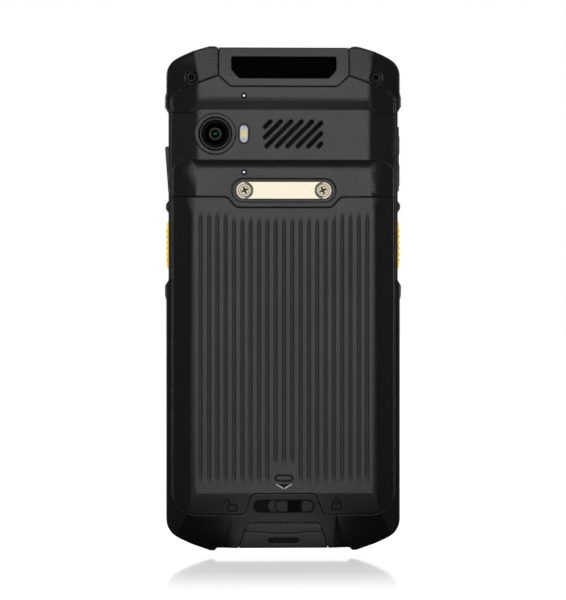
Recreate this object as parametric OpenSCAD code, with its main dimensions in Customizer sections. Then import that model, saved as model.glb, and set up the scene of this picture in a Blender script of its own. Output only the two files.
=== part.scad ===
// Portable data terminal, standing on its foot: back towards -Y, display towards +Y.
// The origin lies below the middle of the body, on the surface that it stands on.

/* [Body] */
// Width across the side walls
body_w = 78.1; // [76:0.1:84]
// Height from the feet to the tips of the upper guards
body_h = 168; // [164:0.5:176]
// Thickness from the back plateau to the bezel rim
body_t = 17; // [16.5:0.1:20]
// Width of the narrow seam lines between casing parts
seam = 0.3; // [0.1:0.05:0.4]
// Wall of the casing
wall = 1.6; // [1.2:0.1:2]
// Distance from the side wall in to the long seam of the back
seam_in = 1.95; // [1.8:0.05:2.4]
// Width of the slope beside the flat plateau over the cover
flank_w = 8.55; // [7.6:0.05:10]
// Width of the slope beside the flat back above the cover
flank_top_w = 10.65; // [9.7:0.05:12]
// Height of the lower edge of the plateau
plateau_z = 19.3; // [18:0.1:22]
// Depth of the camera trough below the plateau
trough_depth = 1.2; // [0.8:0.1:1.5]

/* [Guards and cap] */
// Half width of the centre cap
cap_half = 21.7; // [20:0.1:23]
// Height of the centre cap on the back
cap_h = 13.4; // [12:0.1:15]
// Distance of the foot tips' inner edges from the centre line
foot_in = 22.9; // [21:0.1:25]
// Distance from the top of the lower guard's arms up to the scan keys
guard_gap = 5.3; // [4.5:0.1:12]
// Length of the upper guards' arms below the top
top_arm = 21.6; // [18:0.1:24]
// Radius of the guard screw heads
guard_screw_r = 1.6; // [1.4:0.1:2]
// Distance of the guard screws in from the side walls
guard_screw_in = 8.35; // [8:0.05:9]
// Distance of the guard screws below the top of the body
guard_screw_drop = 10.4; // [10:0.1:11]

/* [Battery cover] */
// Wall of the battery cover
cover_wall = 1.5; // [1.2:0.1:1.8]
// Distance of the cover's upper seam below the top of the body
cover_drop = 50.2; // [48:0.1:54]
// Height of the cover's lower seam
cover_z = 12.2; // [11.5:0.1:13]
// Inner radius of the curved hinge hooks of cover and flap
hook_r = 1.7; // [1.6:0.05:1.9]
// Thickness of the hinge hooks
hook_t = 0.9; // [0.7:0.05:1.1]
// Depth of the hinge hooks' tips under the outer face
hook_lip = 1.1; // [1:0.05:1.3]
// Play round the hinge hooks
hook_play = 0.2; // [0.15:0.05:0.25]
// Spacing of the grooves
groove_pitch = 2.77; // [2.5:0.01:3]
// Least distance from the outer grooves to the edge of the plateau
groove_edge = 2.5; // [2:0.1:6]
// Width of one groove
groove_w = 1.27; // [0.9:0.01:1.4]
// Depth of one groove
groove_d = 0.5; // [0.3:0.05:0.6]

/* [Battery] */
// Distance from the long seam in to the battery bay
bay_side = 8.8; // [8.2:0.1:12]
// Height of the battery bay's lower wall
bay_z = 23.5; // [23:0.1:26]
// Distance of the bay's upper wall below the cover's upper seam
bay_drop = 13.7; // [12.5:0.1:20]
// Thickness of the battery pack
battery_t = 5.4; // [4.5:0.1:5.6]
// Play round the battery pack
battery_play = 0.3; // [0.2:0.05:0.5]

/* [Latch] */
// Length of the latch slot
slot_l = 19.9; // [19:0.1:21]
// Height of the latch slot
slot_h = 3.95; // [3.6:0.05:4.2]
// Length of the latch slide in the slot
slide_l = 12.5; // [11:0.1:13.5]
// Clearance round the latch slide
slide_play = 0.15; // [0.1:0.05:0.2]
// Height of the latch slot's centre
slot_z = 15; // [14.8:0.05:15.2]

/* [Camera and speaker] */
// Distance of the camera in from the side wall
camera_in = 16.25; // [15.6:0.05:18]
// Distance of the camera below the top of the body
camera_drop = 29.2; // [28.5:0.1:30]
// Radius of the camera ring
camera_r = 5.4; // [4.8:0.1:5.8]
// Distance from the camera to the flash
flash_gap = 9.5; // [9:0.1:10.5]
// Height of the flash lens
flash_h = 6.3; // [5.5:0.1:7]
// Width of the flash lens
flash_w = 3.2; // [2.8:0.1:3.6]
// Distance from the middle of the flash to the speaker field
speaker_gap = 7.03; // [5:0.01:8]
// Width of the speaker field
speaker_l = 18.7; // [16:0.1:20]
// Height of the speaker field
speaker_h = 8.2; // [7:0.1:9]
// Width of the speaker slots
speaker_slot = 1.27; // [1:0.01:1.5]
// Pitch of the speaker slots
speaker_pitch = 3.47; // [3:0.01:4]

/* [Strap plate] */
// Length of the strap plate
strap_l = 31.6; // [30:0.1:33]
// Height of the strap plate
strap_h = 5.6; // [5:0.1:6]
// Distance between the strap screws
strap_pitch = 26; // [25:0.1:27]
// Radius of the strap screw heads
strap_screw_r = 1.9; // [1.6:0.05:2.2]
// Distance of the strap plate below the top of the body
strap_drop = 48; // [47.5:0.1:48.4]

/* [Keys and flaps] */
// Distance of the scan keys below the top of the body
scan_key_drop = 66.2; // [65:0.1:68]
// Length of a scan key
scan_key_l = 16.2; // [14:0.1:17]
// Width of a side key
key_w = 5; // [4:0.1:5.4]
// Travel of a key
key_travel = 0.5; // [0.3:0.05:0.6]
// Clearance round a key
key_play = 0.15; // [0.1:0.05:0.25]
// Distance of the power key below the top of the body
power_drop = 32.6; // [32:0.1:33.5]
// Length of the power key
power_l = 6.9; // [6:0.1:7.4]
// Distance of the volume rocker below the top of the body
volume_drop = 42.7; // [42:0.1:43.2]
// Length of the volume rocker
volume_l = 8.2; // [7.4:0.1:8.8]
// Width of the power and volume keys
side_key_w = 3.6; // [3:0.1:3.8]
// Distance of the side port's cover below the top of the body
side_cover_drop = 41; // [40:0.1:42]
// Length of the side port's cover
side_cover_l = 15.6; // [14:0.1:17]
// Top edge of the bottom flap
flap_z = 9.4; // [9:0.1:9.8]
// Half width of the bottom flap at its top
flap_half = 12.3; // [11.5:0.1:12.8]
// Thickness of the bottom flap
flap_t = 1.3; // [1.1:0.1:1.5]
// Length of the flap's finger slot
finger_l = 10.6; // [9:0.1:12]
// Height of the flap's finger slot
finger_h = 2; // [1.6:0.1:2.4]

/* [Display] */
// Width of the rim beside the display glass
rim_side = 3.45; // [3.1:0.05:5]
// Height of the rim below the display glass
rim_foot = 13.9; // [13:0.1:18]
// Height of the rim above the display glass
rim_top = 15.1; // [14.5:0.1:18]
// Thickness of the display glass
glass_t = 1.1; // [0.8:0.1:1.3]
// Margin of the glass beside the display panel
panel_side = 3.1; // [2.5:0.1:6]
// Margin of the glass above and below the display panel
panel_end = 5; // [5:0.1:9]

/* [Hidden] */
$fn = 48;
half_w = body_w / 2;
y_back = -body_t / 2;
y_front = body_t / 2;
seam_x = half_w - seam_in;
waist_x = half_w - 0.75;
lug_x = half_w + 0.45;
plateau_half = half_w - flank_w;
plateau_top_half = half_w - flank_top_w;
trough_y = y_back + trough_depth;
shoulder_y = y_back + 5.4;
trough_top = body_h - 21.1;
trough_low = body_h - 37.8;
// Half the height over which the back curves down to the trough
turn_h = 2.05;
cap_z = body_h - cap_h;
cap_top = body_h - 0.5;
arm_z = body_h - top_arm;
cover_top = body_h - cover_drop;
strap_z = body_h - strap_drop;
camera_x = camera_in - half_w;
camera_z = body_h - camera_drop;
flash_x = camera_x + flash_gap;
speaker_x = flash_x + speaker_gap + speaker_l / 2;
scan_key_z = body_h - scan_key_drop;
guard_arm_z = scan_key_z - scan_key_l / 2 - guard_gap;
power_z = body_h - power_drop;
volume_z = body_h - volume_drop;
side_cover_z = body_h - side_cover_drop;
bay_half = seam_x - bay_side;
bay_top = cover_top - bay_drop;
battery_w = 2 * (bay_half - battery_play);
battery_l = bay_top - bay_z - 2 * battery_play;
glass_w = body_w - 2 * rim_side;
glass_l = body_h - rim_foot - rim_top;
glass_mid_z = rim_foot + glass_l / 2;
panel_w = glass_w - 2 * panel_side;
panel_l = glass_l - 2 * panel_end;
floor_y = y_back + cover_wall + 0.3 + battery_t + 2 * battery_play;
floor_t = 1;
board_y = floor_y + floor_t + 0.3;
board_t = 0.9;
split_y = board_y + board_t + 0.8;
glass_y = y_front - 0.4 - glass_t;
panel_t = 1.7;
panel_y = glass_y - 0.1 - panel_t;
foot_slope = 0.18;
arc_step = 12;

// ---- Outlines and basic solids ----

function unit(v) = v / norm(v);
function flat(c) = [c[0], c[1]];
function cross_flat(a, b) = a[0] * b[1] - a[1] * b[0];

// Right half of an outline, listed upwards, and its mirror image
function sym(half) = concat(half, [for (i = [len(half) - 1:-1:0]) [-half[i][0], half[i][1], half[i][2]]]);

// Corners [x, y, radius], listed anticlockwise, moved inwards by t
function inset(c, t) = [for (i = [0:len(c) - 1]) let(
    last = c[(i + len(c) - 1) % len(c)],
    next = c[(i + 1) % len(c)],
    u = unit(flat(c[i]) - flat(last)),
    v = unit(flat(next) - flat(c[i])),
    m = [-u[1] - v[1], u[0] + v[0]] / (1 + u * v),
    r = c[i][2] - sign(cross_flat(u, v)) * t)
    [c[i][0] + m[0] * t, c[i][1] + m[1] * t, c[i][2] == 0 ? 0 : max(0.05, r)]];

// Corners [x, y, radius] turned into an outline with round corners
function rounded(c) = [for (i = [0:len(c) - 1]) let(
    here = flat(c[i]),
    to_last = flat(c[(i + len(c) - 1) % len(c)]) - here,
    to_next = flat(c[(i + 1) % len(c)]) - here,
    u = unit(to_last),
    v = unit(to_next),
    half_angle = acos(u * v) / 2,
    r = min(c[i][2], 0.49 * min(norm(to_last), norm(to_next)) * tan(half_angle)),
    centre = here + unit(u + v) * r / sin(half_angle),
    start = here + u * r / tan(half_angle) - centre,
    end = here + v * r / tan(half_angle) - centre,
    from = atan2(start[1], start[0]),
    turn = (atan2(end[1], end[0]) - from + 540) % 360 - 180,
    steps = r > 0 ? ceil(abs(turn) / arc_step) : 0)
    for (k = [0:steps])
        let(a = from + turn * k / max(1, steps))
        centre + r * [cos(a), sin(a)]];

// Outline in X and Y, extruded along Z
module prism_z(c, z0, z1) {
    translate([0, 0, z0]) linear_extrude(z1 - z0) polygon(rounded(c));
}

// Outline in X and Z, extruded along Y
module prism_y(c, y0, y1) {
    translate([0, y1, 0]) rotate([90, 0, 0]) linear_extrude(y1 - y0) polygon(rounded(c));
}

// Outline in Y and Z, extruded along X
module prism_x(c, x0, x1) {
    translate([x0, 0, 0]) rotate([90, 0, 90]) linear_extrude(x1 - x0) polygon(rounded(c));
}

// Box between two corners
module block(low, high) {
    translate(low) cube(high - low);
}

// Round rod along Y
module rod_y(x, z, r, y0, y1) {
    translate([x, y1, z]) rotate([90, 0, 0]) cylinder(r = r, h = y1 - y0);
}

// Round rod along X
module rod_x(y, z, r, x0, x1) {
    translate([x0, y, z]) rotate([0, 90, 0]) cylinder(r = r, h = x1 - x0);
}

// The children and their mirror image
module both_sides() {
    children();
    mirror([1, 0, 0]) children();
}

// Rectangle from corner to corner, as an outline with round corners
function box_outline(x0, x1, z0, z1, r) = [[x0, z0, r], [x1, z0, r], [x1, z1, r], [x0, z1, r]];

// ---- The outer form, which the casing parts are cut from ----

// Front view of the body
function body_outline() = sym([
    [foot_in - 0.7, 0.9, 0.4], [foot_in, 0, 0.3], [foot_in + 1.5, 0, 0.6],
    [half_w - 6.45, 2.95, 22], [half_w, 6.8, 9.5],
    [half_w, guard_arm_z - 4.8, 1], [lug_x, guard_arm_z - 3.2, 0.6], [lug_x, guard_arm_z, 0.6],
    [waist_x, guard_arm_z + 1.8, 0.8],
    [waist_x, cover_top - 4.9, 0.5], [half_w + 0.15, cover_top - 3.7, 0.5],
    [half_w + 0.15, cover_top - 2.3, 0.5], [waist_x, cover_top - 1.2, 0.5],
    [waist_x, arm_z, 0.8], [lug_x, arm_z + 1.9, 0.6], [lug_x, arm_z + 4.8, 0.6],
    [half_w, arm_z + 6.6, 1], [half_w, body_h - 5.8, 8.4],
    [half_w - 7, body_h - 2.3, 20], [foot_in + 1.5, body_h, 0.6], [foot_in, body_h, 0.3],
    [foot_in - 0.7, cap_top, 0.3]]);

// Cross section with a plateau of a given half width and height
function section(plateau, y) = sym([
    [plateau, y, 5], [half_w - 0.3, shoulder_y, 3], [half_w + 1, shoulder_y + 1.6, 1],
    [half_w + 1, y_front - 2.4, 1], [half_w - 1.6, y_front, 0.8]]);

// Depth of the inclined lower back at height z
function foot_y(z) = y_back + (plateau_z - z) * foot_slope;

// Side view of the lower back, which ends in the lower wall of the trough
hump_profile = [
    [foot_y(0), 0, 0.8], [y_front - 1.6, 0, 0.8], [y_front, 1.6, 1], [y_front, trough_low + turn_h, 0],
    [trough_y + trough_depth, trough_low + turn_h, 0], [y_back, trough_low - turn_h, 8],
    [y_back, plateau_z, 2]];

// Side view of the upper back
top_profile = [
    [trough_y + trough_depth, trough_top - turn_h, 0], [y_front, trough_top - turn_h, 0],
    [y_front, body_h - 1.6, 1],
    [y_front - 1.4, body_h, 0.8], [y_back + 0.9, body_h, 0.8], [y_back, body_h - 10.2, 8],
    [y_back, trough_top + turn_h, 8]];

// Front view of the lower back, with round upper corners
function hump_outline() = sym([[half_w + 2, -1, 0], [half_w + 2, trough_low - 9, 0],
    [half_w - 4, trough_low, 8]]);

// Slab on a four-cornered patch, reaching outwards to -Y
module slab(a, b, c, d) {
    out = [0, -12, 0];
    polyhedron([a, b, c, d, a + out, b + out, c + out, d + out],
        [[2, 1, 0], [3, 2, 0], [5, 6, 4], [6, 7, 4], [5, 4, 0], [1, 5, 0],
        [6, 5, 1], [2, 6, 1], [7, 6, 2], [3, 7, 2], [4, 7, 3], [0, 4, 3]]);
}

// Extra slope of the flanks towards the trough, where the plateau grows narrower
module flank_slope(t) {
    low = 100;
    a = [plateau_half + 0.4, y_back + t, low];
    b = [plateau_top_half - t * 0.3, y_back + t, trough_low - 3];
    reach = half_w + 1 - seam_x;
    drop = shoulder_y - y_back - 1;
    c = [seam_x + reach - t * 0.3, y_back + drop + t + 0.6, trough_low - 3];
    d = [seam_x + reach - t * 0.3, y_back + drop + t + 0.6, low];
    up = [0, 0, 40];
    slab(a, b, c, d);
    slab(b, b + up, c + up, c);
}

// Slope of the lower corners, which starts at the cover's lower seam beside the middle of the foot
module corner_slope(t) {
    in = 17.5;
    far = half_w + 1;
    low_y = y_back + 5.6 + t;
    a = [in, foot_y(cover_z) + t, cover_z];
    b = [in - 1.4, foot_y(-1) + t, -1];
    e = [in + 3.5, low_y, -1];
    slab(a, [far, foot_y(cover_z) + t, cover_z], [far, low_y, -1], e);
    slab(a + [0, -0.01, 0.01], a, e, b);
}

// The outer form, with every outline moved inwards by t
module form(t = 0) {
    intersection() {
        prism_y(inset(body_outline(), t), -body_t, body_t);
        union() {
            difference() {
                intersection() {
                    prism_z(inset(section(plateau_half, y_back), t), -1, body_h);
                    prism_x(inset(hump_profile, t), -body_w, body_w);
                    prism_y(inset(hump_outline(), t), -body_t, body_t);
                }
                both_sides() flank_slope(t);
                both_sides() corner_slope(t);
            }
            prism_z(inset(section(plateau_top_half, trough_y), t), 100, trough_top + t + 4);
            intersection() {
                prism_z(inset(section(plateau_top_half, y_back), t), trough_top - 1, body_h + 1);
                prism_x(inset(top_profile, t), -body_w, body_w);
            }
        }
    }
}

// Front view of the battery cover
function cover_outline() = sym([
    [10.6, plateau_z - 0.1, 1.8], [13.3, cover_z, 1.6], [seam_x, cover_z, 8.5],
    [seam_x, cover_top, 0.6], [strap_l / 2 + 3.1, cover_top, 2.5],
    [strap_l / 2 + 0.1, cover_top - 3.5, 2.5]]);

// Front view of the core, which the guards, the rails and the cap surround
function core_outline() = sym([
    [seam_x, cover_z, 8.5], [seam_x, cap_z - 3.6, 1.5], [half_w - 6, cap_z - 0.5, 4],
    [cap_half, cap_z + 3.6, 0.3], [cap_half - 3.9, cap_z, 0.8]]);

// ---- Casing ----

under = cover_wall + 0.3;
cover_deep = y_back + 5.6;
latch_back_y = foot_y(slot_z) + 3.6;
key_y = y_back + 8.3;
pocket_x = seam_x - 2.6;
screw_x = half_w - 6.3;
screw_zs = [24.5, 66, cover_top - 8];
screw_r = 1.1;
screw_head_r = 1.9;
screw_seat_y = y_back + 5.9;
rail_low = guard_arm_z + 2;
lip_low_y = cover_deep + 0.5;
lip_high_y = split_y + 3;
cavity_z = cover_top + 6;
cavity_top = cap_z - 4;

// Space of the core in the guards, the rails and the cap: an open seam at the back and the
// front, and lips between them which meet the core and close it
module core_space() {
    prism_y(inset(core_outline(), seam / 2), -body_t, body_t);
    prism_y(inset(core_outline(), -seam / 2), -body_t, lip_low_y);
    prism_y(inset(core_outline(), -seam / 2), lip_high_y, body_t);
}

// Space round the T-shaped tongue of the foot, which carries the latch
tongue_half = 15;
module tongue_space(play) {
    half = tongue_half + play;
    block([-half, -body_t, cover_z - 1], [half, latch_back_y + play, plateau_z + play]);
}

// Places of the screws that join the two housings
module at_housing_screws() {
    both_sides() for (z = screw_zs) translate([screw_x, 0, z]) children();
}

// Openings for a key and its switch, at height z on the right flank
module key_pocket(z, l, w) {
    block([pocket_x, key_y - w / 2 - key_play, z - l / 2 - key_play],
        [half_w + 2, key_y + w / 2 + key_play, z + l / 2 + key_play]);
}

// All openings of the flanks
module flank_pockets() {
    both_sides() key_pocket(scan_key_z, scan_key_l, key_w);
    key_pocket(power_z, power_l, side_key_w);
    key_pocket(volume_z, volume_l, side_key_w);
    rocker_pivot(0.1);
    mirror([1, 0, 0]) key_pocket(side_cover_z, side_cover_l, key_w);
}

// The speaker's slots: slanted strips, clipped to the field and rounded at their ends
speaker_low = [speaker_x - speaker_l / 2, camera_z - speaker_h / 2];
speaker_high = [speaker_x + speaker_l / 2, camera_z + speaker_h / 2];
slot_starts = [for (i = [0:7]) speaker_low[0] + speaker_pitch * (i - 1.85)];

module speaker_slots(y0, y1) {
    for (x0 = slot_starts) {
        rise = speaker_high[1] - speaker_low[1];
        cut_low = max(0, speaker_low[0] - x0);
        cut_high = max(0, x0 + rise - speaker_high[0]);
        a = [x0 + cut_low, speaker_low[1] + cut_low];
        b = [x0 + rise - cut_high, speaker_high[1] - cut_high];
        rod_y(a[0], a[1], speaker_slot / 2, y0, y1);
        rod_y(b[0], b[1], speaker_slot / 2, y0, y1);
        translate([a[0], y1, a[1]]) rotate([90, -45, 0])
            translate([0, -speaker_slot / 2, 0]) cube([norm(b - a), speaker_slot, y1 - y0]);
    }
}

// Stadium along Y, made of two rods and a block
module stadium_y(x, z, l, h, y0, y1) {
    r = h / 2;
    rod_y(x - l / 2 + r, z, r, y0, y1);
    rod_y(x + l / 2 - r, z, r, y0, y1);
    block([x - l / 2 + r, y0, z - r], [x + l / 2 - r, y1, z + r]);
}

hinge_xs = [-23.5, 23.5];
hinge_tab_w = 6;
hinge_z = cover_top + seam / 2;

// Curved hook of a lid that turns about the line y, z, where the lid and its frame meet. The hook
// reaches behind the frame's edge. With play, it is the pocket that the hook swings in.
module curved_hook(x, y, z, r, w, play) {
    out = r + hook_t + play;
    half = w / 2 + play;
    low = play > 0 ? out + 1 : r + 0.3;
    difference() {
        intersection() {
            rod_x(y, z, out, x - half, x + half);
            block([x - w, y + hook_lip - play, z - low], [x + w, y + 2 * out, z + 2 * out]);
        }
        rod_x(y, z, r - play, x - w, x + w);
    }
}

module cover_hooks(play) {
    for (x = hinge_xs) curved_hook(x, y_back, hinge_z, hook_r, hinge_tab_w, play);
}

module flap_hooks(play) {
    for (x = flap_hook_xs) curved_hook(x, foot_y(flap_z), flap_z, hook_r, flap_hook_w, play);
}

flap_hook_xs = [-7.5, 7.5];
flap_hook_w = 3;
strap_floor_y = y_back + 1.5;
seal_y = y_back + cover_wall + 0.1;
boss_y = trough_y - 0.7;

module rear_housing() color("#2c2c2e") difference() {
    union() {
        intersection() {
            form();
            prism_y(inset(core_outline(), seam / 2), -body_t, split_y);
        }
        rod_y(camera_x, camera_z, camera_r + 1.4, boss_y, trough_y + 1);
    }
    // Space that the battery cover fills
    difference() {
        prism_y(inset(cover_outline(), -seam / 2), -body_t, cover_deep + 0.3);
        form(under);
    }
    tongue_space(seam);
    // Pocket of the latch hooks and the cover's keeper rib
    block([-slot_l / 2 - 1.6, -body_t, plateau_z - 0.5],
        [slot_l / 2 + 1.6, carrier_y + carrier_t + 0.15, keeper_z + 1.4]);
    block([-bay_half, -body_t, bay_z], [bay_half, floor_y, bay_top]);
    // Groove of the bay's seal
    difference() {
        block([-bay_half - 1.3, seal_y, bay_z - 1.3], [bay_half + 1.3, seal_y + 1, bay_top + 1.3]);
        block([-bay_half, -body_t, bay_z], [bay_half, floor_y, bay_top]);
    }
    prism_y(inset(core_outline(), 4), floor_y + floor_t, split_y + 1);
    block([-half_w + 8, trough_y + wall, cavity_z], [half_w - 8, split_y + 1, cavity_top]);
    cover_hooks(hook_play);
    stadium_y(0, strap_z, strap_l + 3.2, strap_h + 2.3, -body_t, strap_floor_y);
    for (x = [-strap_pitch / 2, strap_pitch / 2]) rod_y(x, strap_z, 2.1, -body_t, y_back + 6);
    rod_y(camera_x, camera_z, camera_r + seam / 2, -body_t, y_back + 3);
    stadium_flash(0.1, -body_t, y_back + 3.5);
    speaker_slots(-body_t, y_back + 3);
    for (z = mic_zs) rod_y(flash_x, z, 0.5, -body_t, y_back + 6);
    at_housing_screws() {
        rod_y(0, 0, screw_r + 0.1, -body_t, split_y + 1);
        rod_y(0, 0, screw_head_r + 0.15, -body_t, screw_seat_y);
    }
    flank_pockets();
    block([-contact_w / 2 - 0.2, floor_y - 1, bay_z - 5.2], [contact_w / 2 + 0.2, split_y + 1, bay_z + 0.1]);
    block([-5.3, floor_y - 2.8, bay_z - 1.6], [5.3, floor_y, bay_z + 0.1]);
    block([sim_x - sim_w / 2 - 0.1, floor_y - 0.1, sim_z - sim_h / 2 - 0.1],
        [sim_x + sim_w / 2 + 0.1, split_y + 1, sim_z + sim_h / 2 + 0.1]);
}

mic_zs = [body_h - 42, body_h - 16.6];
contact_w = 14;
finger_pitch = 3;
sim_w = 14;
sim_x = bay_half - sim_w / 2 - 7.3;
sim_h = 13;
sim_z = bay_top - 14.1;

module stadium_flash(play, y0, y1) {
    rotate([0, 90, 0]) stadium_y(-camera_z, flash_x, flash_h + 2 * play, flash_w + 2 * play, y0, y1);
}

module front_housing() color("#262628") difference() {
    union() {
        difference() {
            intersection() {
                form();
                prism_y(inset(core_outline(), seam / 2), split_y, body_t);
            }
            prism_y(inset(core_outline(), 2), split_y - 1, panel_y - 0.9);
            // Opening of the display panel, behind the glass
            block([-panel_w / 2 - 0.2, 0, glass_mid_z - panel_l / 2 - 0.2],
                [panel_w / 2 + 0.2, body_t, glass_mid_z + panel_l / 2 + 0.2]);
        }
        at_housing_screws() rod_y(0, 0, 2.6, split_y, panel_y - 0.8);
        // Mid plate that carries the display
        block([-panel_w / 2 - 1, panel_y - 0.9, glass_mid_z - panel_l / 2 - 1],
            [panel_w / 2 + 1, panel_y - 0.1, glass_mid_z + panel_l / 2 + 1]);
    }
    prism_y(box_outline(-glass_w / 2 - 0.1, glass_w / 2 + 0.1, glass_mid_z - glass_l / 2 - 0.1,
        glass_mid_z + glass_l / 2 + 0.1, 4), glass_y - 0.1, body_t);
    at_housing_screws() rod_y(0, 0, screw_r - 0.05, split_y - 1, panel_y - 1.4);
    rod_y(front_camera_x, front_camera_z, front_camera_r + 0.2, split_y, body_t);
    block([-receiver_l / 2 - 0.1, panel_y - 2, front_camera_z - 1.1],
        [receiver_l / 2 + 0.1, body_t, front_camera_z + 1.1]);
    flank_pockets();
}

front_camera_x = -16;
front_camera_r = 3;
front_camera_z = glass_mid_z + panel_l / 2 + front_camera_r + 0.2;
receiver_l = 12;
receiver_h = 1.8;

// Latch, flap and socket spaces of the foot
channel_y = foot_y(slot_z) + 1.4;
carrier_y = channel_y + 0.35;
carrier_t = 0.75;
module lower_guard() color("#232325") difference() {
    union() {
        difference() {
            intersection() {
                form();
                block([-body_w, -body_t, -1], [body_w, body_t, rail_low]);
            }
            core_space();
        }
        // Tongue that reaches up into the cover's notch
        difference() {
            intersection() {
                form();
                tongue_space(0);
            }
            prism_y(inset(cover_outline(), -seam / 2), -body_t, body_t);
        }
        intersection() {
            form(under);
            tongue_space(0);
        }
    }
    stadium_y(0, slot_z, slot_l, slot_h, -body_t, channel_y + 0.01);
    block([-slot_l / 2 - 3.3, channel_y, slot_z - slot_h / 2 - 0.7],
        [slot_l / 2 + 1.5, carrier_y + carrier_t + 0.1, slot_z + slot_h / 2 + 0.7]);
    // Window above the channel, where the slide's hooks reach the cover
    block([-slot_l / 2 - 1.5, channel_y, slot_z],
        [slot_l / 2 + 1.5, carrier_y + carrier_t + 0.1, plateau_z + 2]);
    flap_form(-seam / 2, flap_t + 0.25, 0.25);
    flap_hooks(hook_play);
    // Socket of the foot and the cradle contacts
    translate([0, usb_y, -1]) linear_extrude(9.5) flat_slot(8.94 + 0.4, 3.16 + 0.4);
    both_sides() for (k = [0:2]) translate([cradle_x + k * 2.2, cradle_y, -1]) cylinder(r = 0.8, h = 6);
}

usb_y = y_back + 6.9;
cradle_x = 8.6;
cradle_y = y_back + 11.6;

// Slot outline with round ends, centred
module flat_slot(l, h) {
    square([l - h, h], center = true);
    for (x = [h - l, l - h]) translate([x / 2, 0]) circle(d = h);
}

// Front view of the bottom flap, wider towards the foot
function flap_outline(half, top, r) = sym([[half + (top + 2) * 0.307, -2, 0], [half, top, r]]);

// The bottom flap: a skin on the slope of the foot which turns under the edge
module flap_form(grow, t, play) {
    outline = inset(flap_outline(flap_half, flap_z, 2), grow);
    difference() {
        intersection() {
            form(-0.001);
            prism_y(outline, -body_t, y_back + 10.2 + play);
        }
        prism_x([[foot_y(0) + t, 0.9 + t, 0.4], [body_t, 0.9 + t, 0], [body_t, flap_z + 3, 0],
            [foot_y(flap_z + 3) + t, flap_z + 3, 0]], -20, 20);
    }
}

// Region of the right upper guard: beside the cap and above the core
module upper_guard() {
    difference() {
        intersection() {
            form();
            union() {
                block([cap_half + seam / 2, -body_t, arm_z], [body_w, body_t, body_h + 1]);
                block([cap_half - seam / 2, lip_low_y, arm_z], [body_w, lip_high_y, body_h + 1]);
            }
        }
        core_space();
        rod_y(guard_screw_x, guard_screw_z, guard_screw_r + 0.45, -body_t, guard_seat_y);
        rod_y(guard_screw_x, guard_screw_z, 0.9, -body_t, guard_seat_y + 7);
    }
}

guard_screw_x = half_w - guard_screw_in;
guard_screw_z = body_h - guard_screw_drop;
guard_seat_y = y_back + 2.6;

module top_left_guard() color("#232325") mirror([1, 0, 0]) upper_guard();
module top_right_guard() color("#232325") upper_guard();

module guard_screws() color("#101012") both_sides() difference() {
    union() {
        rod_y(guard_screw_x, guard_screw_z, guard_screw_r, guard_seat_y - 1.2, guard_seat_y);
        rod_y(guard_screw_x, guard_screw_z, 0.85, guard_seat_y - 0.1, guard_seat_y + 6.5);
    }
    // Star socket
    for (a = [0, 60, 120]) translate([guard_screw_x, guard_seat_y - 1, guard_screw_z]) rotate([0, a, 0])
        cube([1.9, 1.4, 0.55], center = true);
}

// One flank between the guards, right side
module rail() {
    difference() {
        intersection() {
            form();
            block([0, -body_t, rail_low], [body_w, body_t, arm_z]);
        }
        core_space();
        key_pocket(scan_key_z, scan_key_l, key_w);
        children();
    }
}

module left_rail() color("#3a3a3c") mirror([1, 0, 0]) rail() {
    key_pocket(side_cover_z, side_cover_l, key_w);
    side_cover_pin(0.1);
}

module right_rail() color("#3a3a3c") rail() {
    key_pocket((bezel_low + bezel_high) / 2, bezel_high - bezel_low, side_key_w + 1.4);
}

bezel_low = volume_z - volume_l / 2 - 1.15;
bezel_high = power_z + power_l / 2 + 2.6;

// Insert in the right flank that frames the power and volume keys
module key_bezel() color("#1a1a1c") difference() {
    w = side_key_w + 1.4 - 0.1;
    block([seam_x + 0.15, key_y - w / 2, bezel_low], [waist_x + 0.45, key_y + w / 2, bezel_high]);
    key_pocket(power_z, power_l, side_key_w);
    key_pocket(volume_z, volume_l, side_key_w);
}

module scan_head_cap() color("#2a2a2c") difference() {
    intersection() {
        form();
        block([-cap_half + seam / 2, -body_t, cap_z - 1], [cap_half - seam / 2, body_t, body_h + 1]);
    }
    core_space();
    prism_y(inset(plate_outline(), -0.1), -body_t, plate_seat_y);
    // Space of the scan engine and its window
    block([-engine_w / 2 - 0.2, engine_y - engine_t / 2 - 0.2, cap_z - 1],
        [engine_w / 2 + 0.2, engine_y + engine_t / 2 + 0.2, cap_top - 2.6]);
    block([-engine_w / 2 + 1, engine_y - engine_t / 2 + 1, cap_z],
        [engine_w / 2 - 1, engine_y + engine_t / 2 - 1, body_h]);
    prism_z(inset(window_outline(), -0.1), cap_top - 2, body_h);
}

engine_w = 21;
engine_t = 9;
engine_h = 8.4;
engine_y = 1.2;
plate_half = 17.4;
plate_low = body_h - 10.7;
plate_high = body_h - 3.6;
plate_seat_y = y_back + 2.2;

// Front view of the gloss plate in the cap
function plate_outline() = sym([[plate_half - 2.5, plate_low, 0.3], [plate_half, plate_low + 2.8, 0.3],
    [plate_half, plate_high, 0.6]]);

// Top view of the scan window
function window_outline() = box_outline(-engine_w / 2 - 1, engine_w / 2 + 1, engine_y - engine_t / 2 - 0.4,
    engine_y + engine_t / 2 + 0.4, 1.5);

// Gloss plate, level with the sloping face of the cap
module nameplate() color("#050506") intersection() {
    form(0.15);
    prism_y(plate_outline(), -body_t, plate_seat_y);
}

module scan_window() color("#3a0f12") prism_z(window_outline(), cap_top - 1.9, cap_top - 0.7);

// Scan engine: a metal block with an aiming window and an imager lens, looking up
module scan_engine() color("#46484c") union() {
    top = cap_top - 2.7;
    block([-engine_w / 2, engine_y - engine_t / 2, top - engine_h],
        [engine_w / 2, engine_y + engine_t / 2, top - 0.8]);
    translate([-5, engine_y, top - 1]) cylinder(r = 3, h = 0.9);
    translate([5.5, engine_y, top - 1]) cylinder(r = 1.6, h = 0.9);
}

// ---- Battery cover, battery and bay ----

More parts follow.
